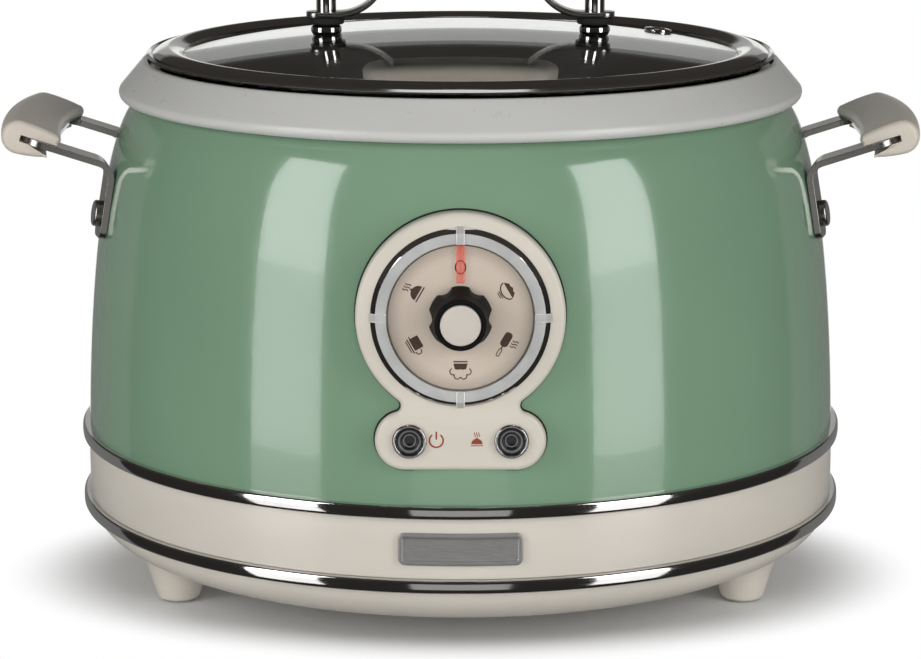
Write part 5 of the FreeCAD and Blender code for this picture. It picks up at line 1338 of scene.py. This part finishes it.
class CookerInlet(bpy.types.Operator):
    """Makes the power inlet at the rear"""
    bl_idname = "cooker.inlet"
    bl_label = "Power Inlet"

    def execute(self, context):
        """A rounded flange that meets the wall, a flat rim, and a deep pocket."""
        face = float(wall_radius(INLET_Z)) + 3.0
        place = (np.array([0.0, AXIS_Y + face, INLET_Z]), np.array([[-1.0, 0, 0], [0, 0, 1.0], [0, 1.0, 0]]))
        outer = (36.0, 29.0, 4.0)
        flange = pill(*outer)
        at = put(lifted(flange, 0.0), place)
        depth = np.sqrt((wall_radius(at[:, 2]) + 0.1) ** 2 - at[:, 0] ** 2) - face
        rings = [lifted(flange, depth)]
        rings += [lifted(pill(*outer, inset), drop) for inset, drop in edge_round(1.0, 5)]
        pocket = (24.2, 16.7, 4.0)
        rings += [lifted(pill(*line), height)
                  for line, height in (((24.8, 17.3, 4.2), 0.0), (pocket, -0.4), (pocket, -16.0))]
        piece("inlet", skin(rings, place, (False, True)), "black_matt", "body",
              ["inlet_socket"])
        return {"FINISHED"}


class CookerInside(bpy.types.Operator):
    """Gives the inner pieces, which keep their solid shapes, their finishes"""
    bl_idname = "cooker.inside"
    bl_label = "Inner Pieces"

    def execute(self, context):
        nodes = {
            "cast": ["heating_plate", "sensor_cap"],
            "steel_spun": ["pot_liner", "sensor_housing", "selector_shaft", "base_screws", "base_nuts",
                           "plate_posts", "post_nuts", "board_screws", "fuse_clip", "lid_screws"],
            "dull": ["heating_element"],
            "ceramic": ["thermal_fuse"],
            "black_matt": ["selector_switch"],
            "board": ["control_board"],
            "brass": ["inlet_pins"],
            "rubber_black": ["lid_gaskets"],
        }
        for finish, names in nodes.items():
            for name in names:
                for slot in frame["nodes"][name].material_slots:
                    slot.material = FINISHES[finish]
        self.make_spring()
        return {"FINISHED"}

    def make_spring(self):
        """Round wire along a helix: ((r + w cos b) cos a, (r + w cos b) sin a, p a + w sin b), with wire
        radius w."""
        low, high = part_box("sensor_spring")
        wire, turns = 0.65, 5
        radius, tall = (high.x - low.x) / 2 / MM - wire, (high.z - low.z) / MM - 2 * wire
        middle = np.array([low.x + high.x, low.y + high.y, 2 * low.z]) / 2 / MM + [0.0, 0.0, wire]
        along = np.linspace(0, 2 * np.pi * turns, 36 * turns)
        a, b = np.meshgrid(along, round_angles(12), indexing="ij")
        reach = radius + wire * np.cos(b)
        rise = tall * a / a.max() + wire * np.sin(b)
        rings = np.stack([reach * np.cos(a), reach * np.sin(a), rise], -1)
        piece("sensor_coil", skin(rings, (middle, np.eye(3))), "steel_spun",
              ("body", "sensor", low, high), ["sensor_spring"])


class CookerStage(bpy.types.Operator):
    """Makes the floor, the lights, the background and the camera"""
    bl_idname = "cooker.stage"
    bl_label = "Stage"

    def execute(self, context):
        context.scene.view_settings.view_transform = "Standard"
        self.make_floor(context)
        self.make_cards(context)
        self.make_world(context)
        self.make_lights(context)
        self.make_camera(context)
        return {"FINISHED"}

    def make_floor(self, context):
        """A wide pale floor that takes shadows."""
        half = size("floor_size") * MM / 2
        mesh = bpy.data.meshes.new("floor")
        corners = [(-half, -half, 0), (half, -half, 0), (half, half, 0), (-half, half, 0)]
        mesh.from_pydata(corners, [], [(0, 1, 2, 3)])
        finish = Finish("floor_pale", Base_Color=tint("floor"), Roughness=0.6, IOR=1.3)
        x, y, _ = finish.coordinate()
        flatter, near, away = 2.1, 0.136, 0.190
        far = (x * x + y * y * flatter).math("SQRT").step(near, away)
        camera_ray = finish.node("ShaderNodeLightPath").outputs["Is Camera Ray"]
        plain = finish.shader.outputs[0]
        white = finish.node("ShaderNodeEmission", {}, {"Color": (1, 1, 1, 1), "Strength": 1.0})
        fade = finish.node("ShaderNodeMixShader", {}, {0: far, 1: plain, 2: white.outputs[0]})
        seen = finish.node("ShaderNodeMixShader", {}, {0: camera_ray, 1: plain, 2: fade.outputs[0]})
        finish.join(finish.output.inputs["Surface"], seen.outputs[0])
        mesh.materials.append(finish.material)
        floor = bpy.data.objects.new("floor", mesh)
        floor.visible_glossy = False
        context.scene.collection.objects.link(floor)

    def make_cards(self, context):
        """Cards seen only in reflections: dark ones round the front and above, a grey one behind with a
        bright strip, and a grey one low in front. Each has its angles round and up in degrees, its distance
        in metres, its colour and its glow."""
        warm, plain = [1.0, 0.91, 0.83, 1.0], [1.0, 1.0, 0.98, 1.0]
        cards = [("front_card", -118, 118, -88, 18, 2.8, warm, 0.030),
                 ("upper_card", -180, 180, 18, 78, 2.8, warm, 0.05),
                 ("rear_card", 118, 242, -88, 18, 2.8, plain, 0.20),
                 ("rear_strip", 164, 196, -14, 11, 2.6, plain, 1.0),
                 ("rear_fade", 164, 196, 11, 17, 2.6, plain, 0.45),
                 ("low_card", -14, 14, -24, 2, 2.4, plain, 0.42)]
        for name, left, right, low, high, far, light, glow in cards:
            around, rise = np.radians(np.linspace(left, right, 60)), np.radians(np.linspace(low, high, 40))
            self.card(context, name, around, rise, far, light, glow)

    def card(self, context, name, around, rise, far, light, glow):
        """A patch of a sphere: far (cos e sin a, -cos e cos a, sin e), for angles a and heights e."""
        e, a = np.meshgrid(rise, around, indexing="ij")
        points = far * np.stack([np.cos(e) * np.sin(a), -np.cos(e) * np.cos(a), np.sin(e)], -1)
        mesh = bpy.data.meshes.new(name)
        faces = grid_faces(len(rise), len(around), wrap_columns=False)
        mesh.from_pydata(points.reshape(-1, 3), [], faces.tolist())
        finish = Finish(name, Base_Color=[0.0, 0.0, 0.0, 1.0], Roughness=1.0, Specular_IOR_Level=0.0,
                        Emission_Color=light, Emission_Strength=glow)
        mesh.materials.append(finish.material)
        card = bpy.data.objects.new(name, mesh)
        card.visible_camera = card.visible_diffuse = card.visible_shadow = False
        card.visible_volume_scatter = False
        context.scene.collection.objects.link(card)

    def make_world(self, context):
        """White to the camera and in reflections; for the light itself, a soft grey, darker above."""
        world = bpy.data.worlds.new("studio")
        context.scene.world = world
        world.use_nodes = True
        nodes = Nodes(world.node_tree)
        light = nodes.node("ShaderNodeLightPath").outputs
        seen = Signal(nodes, light["Is Camera Ray"])
        for name in ("Is Glossy Ray", "Is Transmission Ray"):
            seen = seen.math("MAXIMUM", light[name])
        low_level, drop = 0.22, 0.16
        way = nodes.node("ShaderNodeTexCoord").outputs["Generated"]
        up = Signal(nodes, nodes.node("ShaderNodeSeparateXYZ", {}, {0: way}).outputs[2])
        level = low_level - up.step(-0.1, 0.7) * drop
        fill = nodes.node("ShaderNodeBackground", {}, {"Color": (1, 1, 1, 1), "Strength": level})
        white = nodes.node("ShaderNodeBackground", {}, {"Color": (1, 1, 1, 1), "Strength": 1.0})
        mix = nodes.node("ShaderNodeMixShader", {}, {0: seen, 1: fill.outputs[0], 2: white.outputs[0]})
        nodes.node("ShaderNodeOutputWorld", {}, {0: mix.outputs[0]})

    def make_lights(self, context):
        """A tall soft box at the front left and right, dimmer towards its foot, and plain fills from the
        front and the rear."""
        boxes = [("fill_box", (0.0, -2.3, 0.35), 2.2, 1.4, 25.0, False),
                 ("rear_box", (0.0, 2.3, 0.60), 2.2, 1.4, 18.0, False)]
        wide = 0.55
        levels = [("upper", 0.25, 1.15, 5.0), ("middle", -0.15, 0.25, 3.4), ("lower", -0.65, -0.15, 1.5)]
        for name, x, y in (("left", -1.09, -0.88), ("right", 1.06, -0.92)):
            for level, low, high, glow in levels:
                tall, place = high - low, (x, y, (low + high) / 2)
                boxes.append((name + "_" + level, place, wide, tall, glow * np.pi * wide * tall, True))
        for name, place, wide, tall, power, shows in boxes:
            data = bpy.data.lights.new(name, "AREA")
            data.shape, data.size, data.size_y, data.energy = "RECTANGLE", wide, tall, power
            lamp = bpy.data.objects.new(name, data)
            turn = Vector((place[0], place[1], 0.0)).to_track_quat("Z", "Y")
            lamp.matrix_world = Matrix.Translation(place) @ turn.to_matrix().to_4x4()
            lamp.visible_glossy = lamp.visible_transmission = shows
            context.scene.collection.objects.link(lamp)

    def make_camera(self, context):
        """A long lens, level with a point above the lid and turned down a little, as in the photograph."""
        focal_pixels, image_wide, sensor = 3267.03, 921, 36.0
        back, height, tilt = 1312.68, 0.3756, 0.2075752
        data = bpy.data.cameras.new("camera")
        data.sensor_fit, data.sensor_width = "HORIZONTAL", sensor
        data.lens = focal_pixels / image_wide * sensor
        data.clip_start = 0.05
        camera = bpy.data.objects.new("camera", data)
        camera.location = (0.0, (AXIS_Y - back) * MM, height)
        camera.rotation_euler = (np.pi / 2 - tilt, 0.0, 0.0)
        context.scene.collection.objects.link(camera)
        context.scene.camera = camera


class CookerPanelList(bpy.types.Panel):
    """Lists the steps that build the cooker"""
    bl_idname = "VIEW3D_PT_cooker"
    bl_label = "Slow Cooker"
    bl_space_type = "VIEW_3D"
    bl_region_type = "UI"
    bl_category = "Cooker"

    def draw(self, context):
        """One button for each step, then every size and colour."""
        for step in STEPS:
            self.layout.operator(step.bl_idname)
        for group in (context.scene.cooker_sizes, context.scene.cooker_colours):
            column = self.layout.column()
            for name in group.__annotations__:
                column.prop(group, name)


STEPS = [CookerStage, CookerWall, CookerBase, CookerHandles, CookerPanel, CookerDial, CookerPot, CookerLid,
         CookerLidHandle, CookerInlet, CookerInside]
CLASSES = [CookerSizes, CookerColours, *STEPS, CookerPanelList]


def register():
    """Adds the classes and the two groups of properties."""
    for one in CLASSES:
        bpy.utils.register_class(one)
    bpy.types.Scene.cooker_sizes = PointerProperty(type=CookerSizes)
    bpy.types.Scene.cooker_colours = PointerProperty(type=CookerColours)


def unregister():
    """Takes away what register adds."""
    del bpy.types.Scene.cooker_colours
    del bpy.types.Scene.cooker_sizes
    for one in reversed(CLASSES):
        bpy.utils.unregister_class(one)


def main():
    """Builds the cooker step by step."""
    register()
    make_finishes()
    for step in STEPS:
        group, name = step.bl_idname.split(".")
        getattr(getattr(bpy.ops, group), name)()


if __name__ == "__main__":
    main()
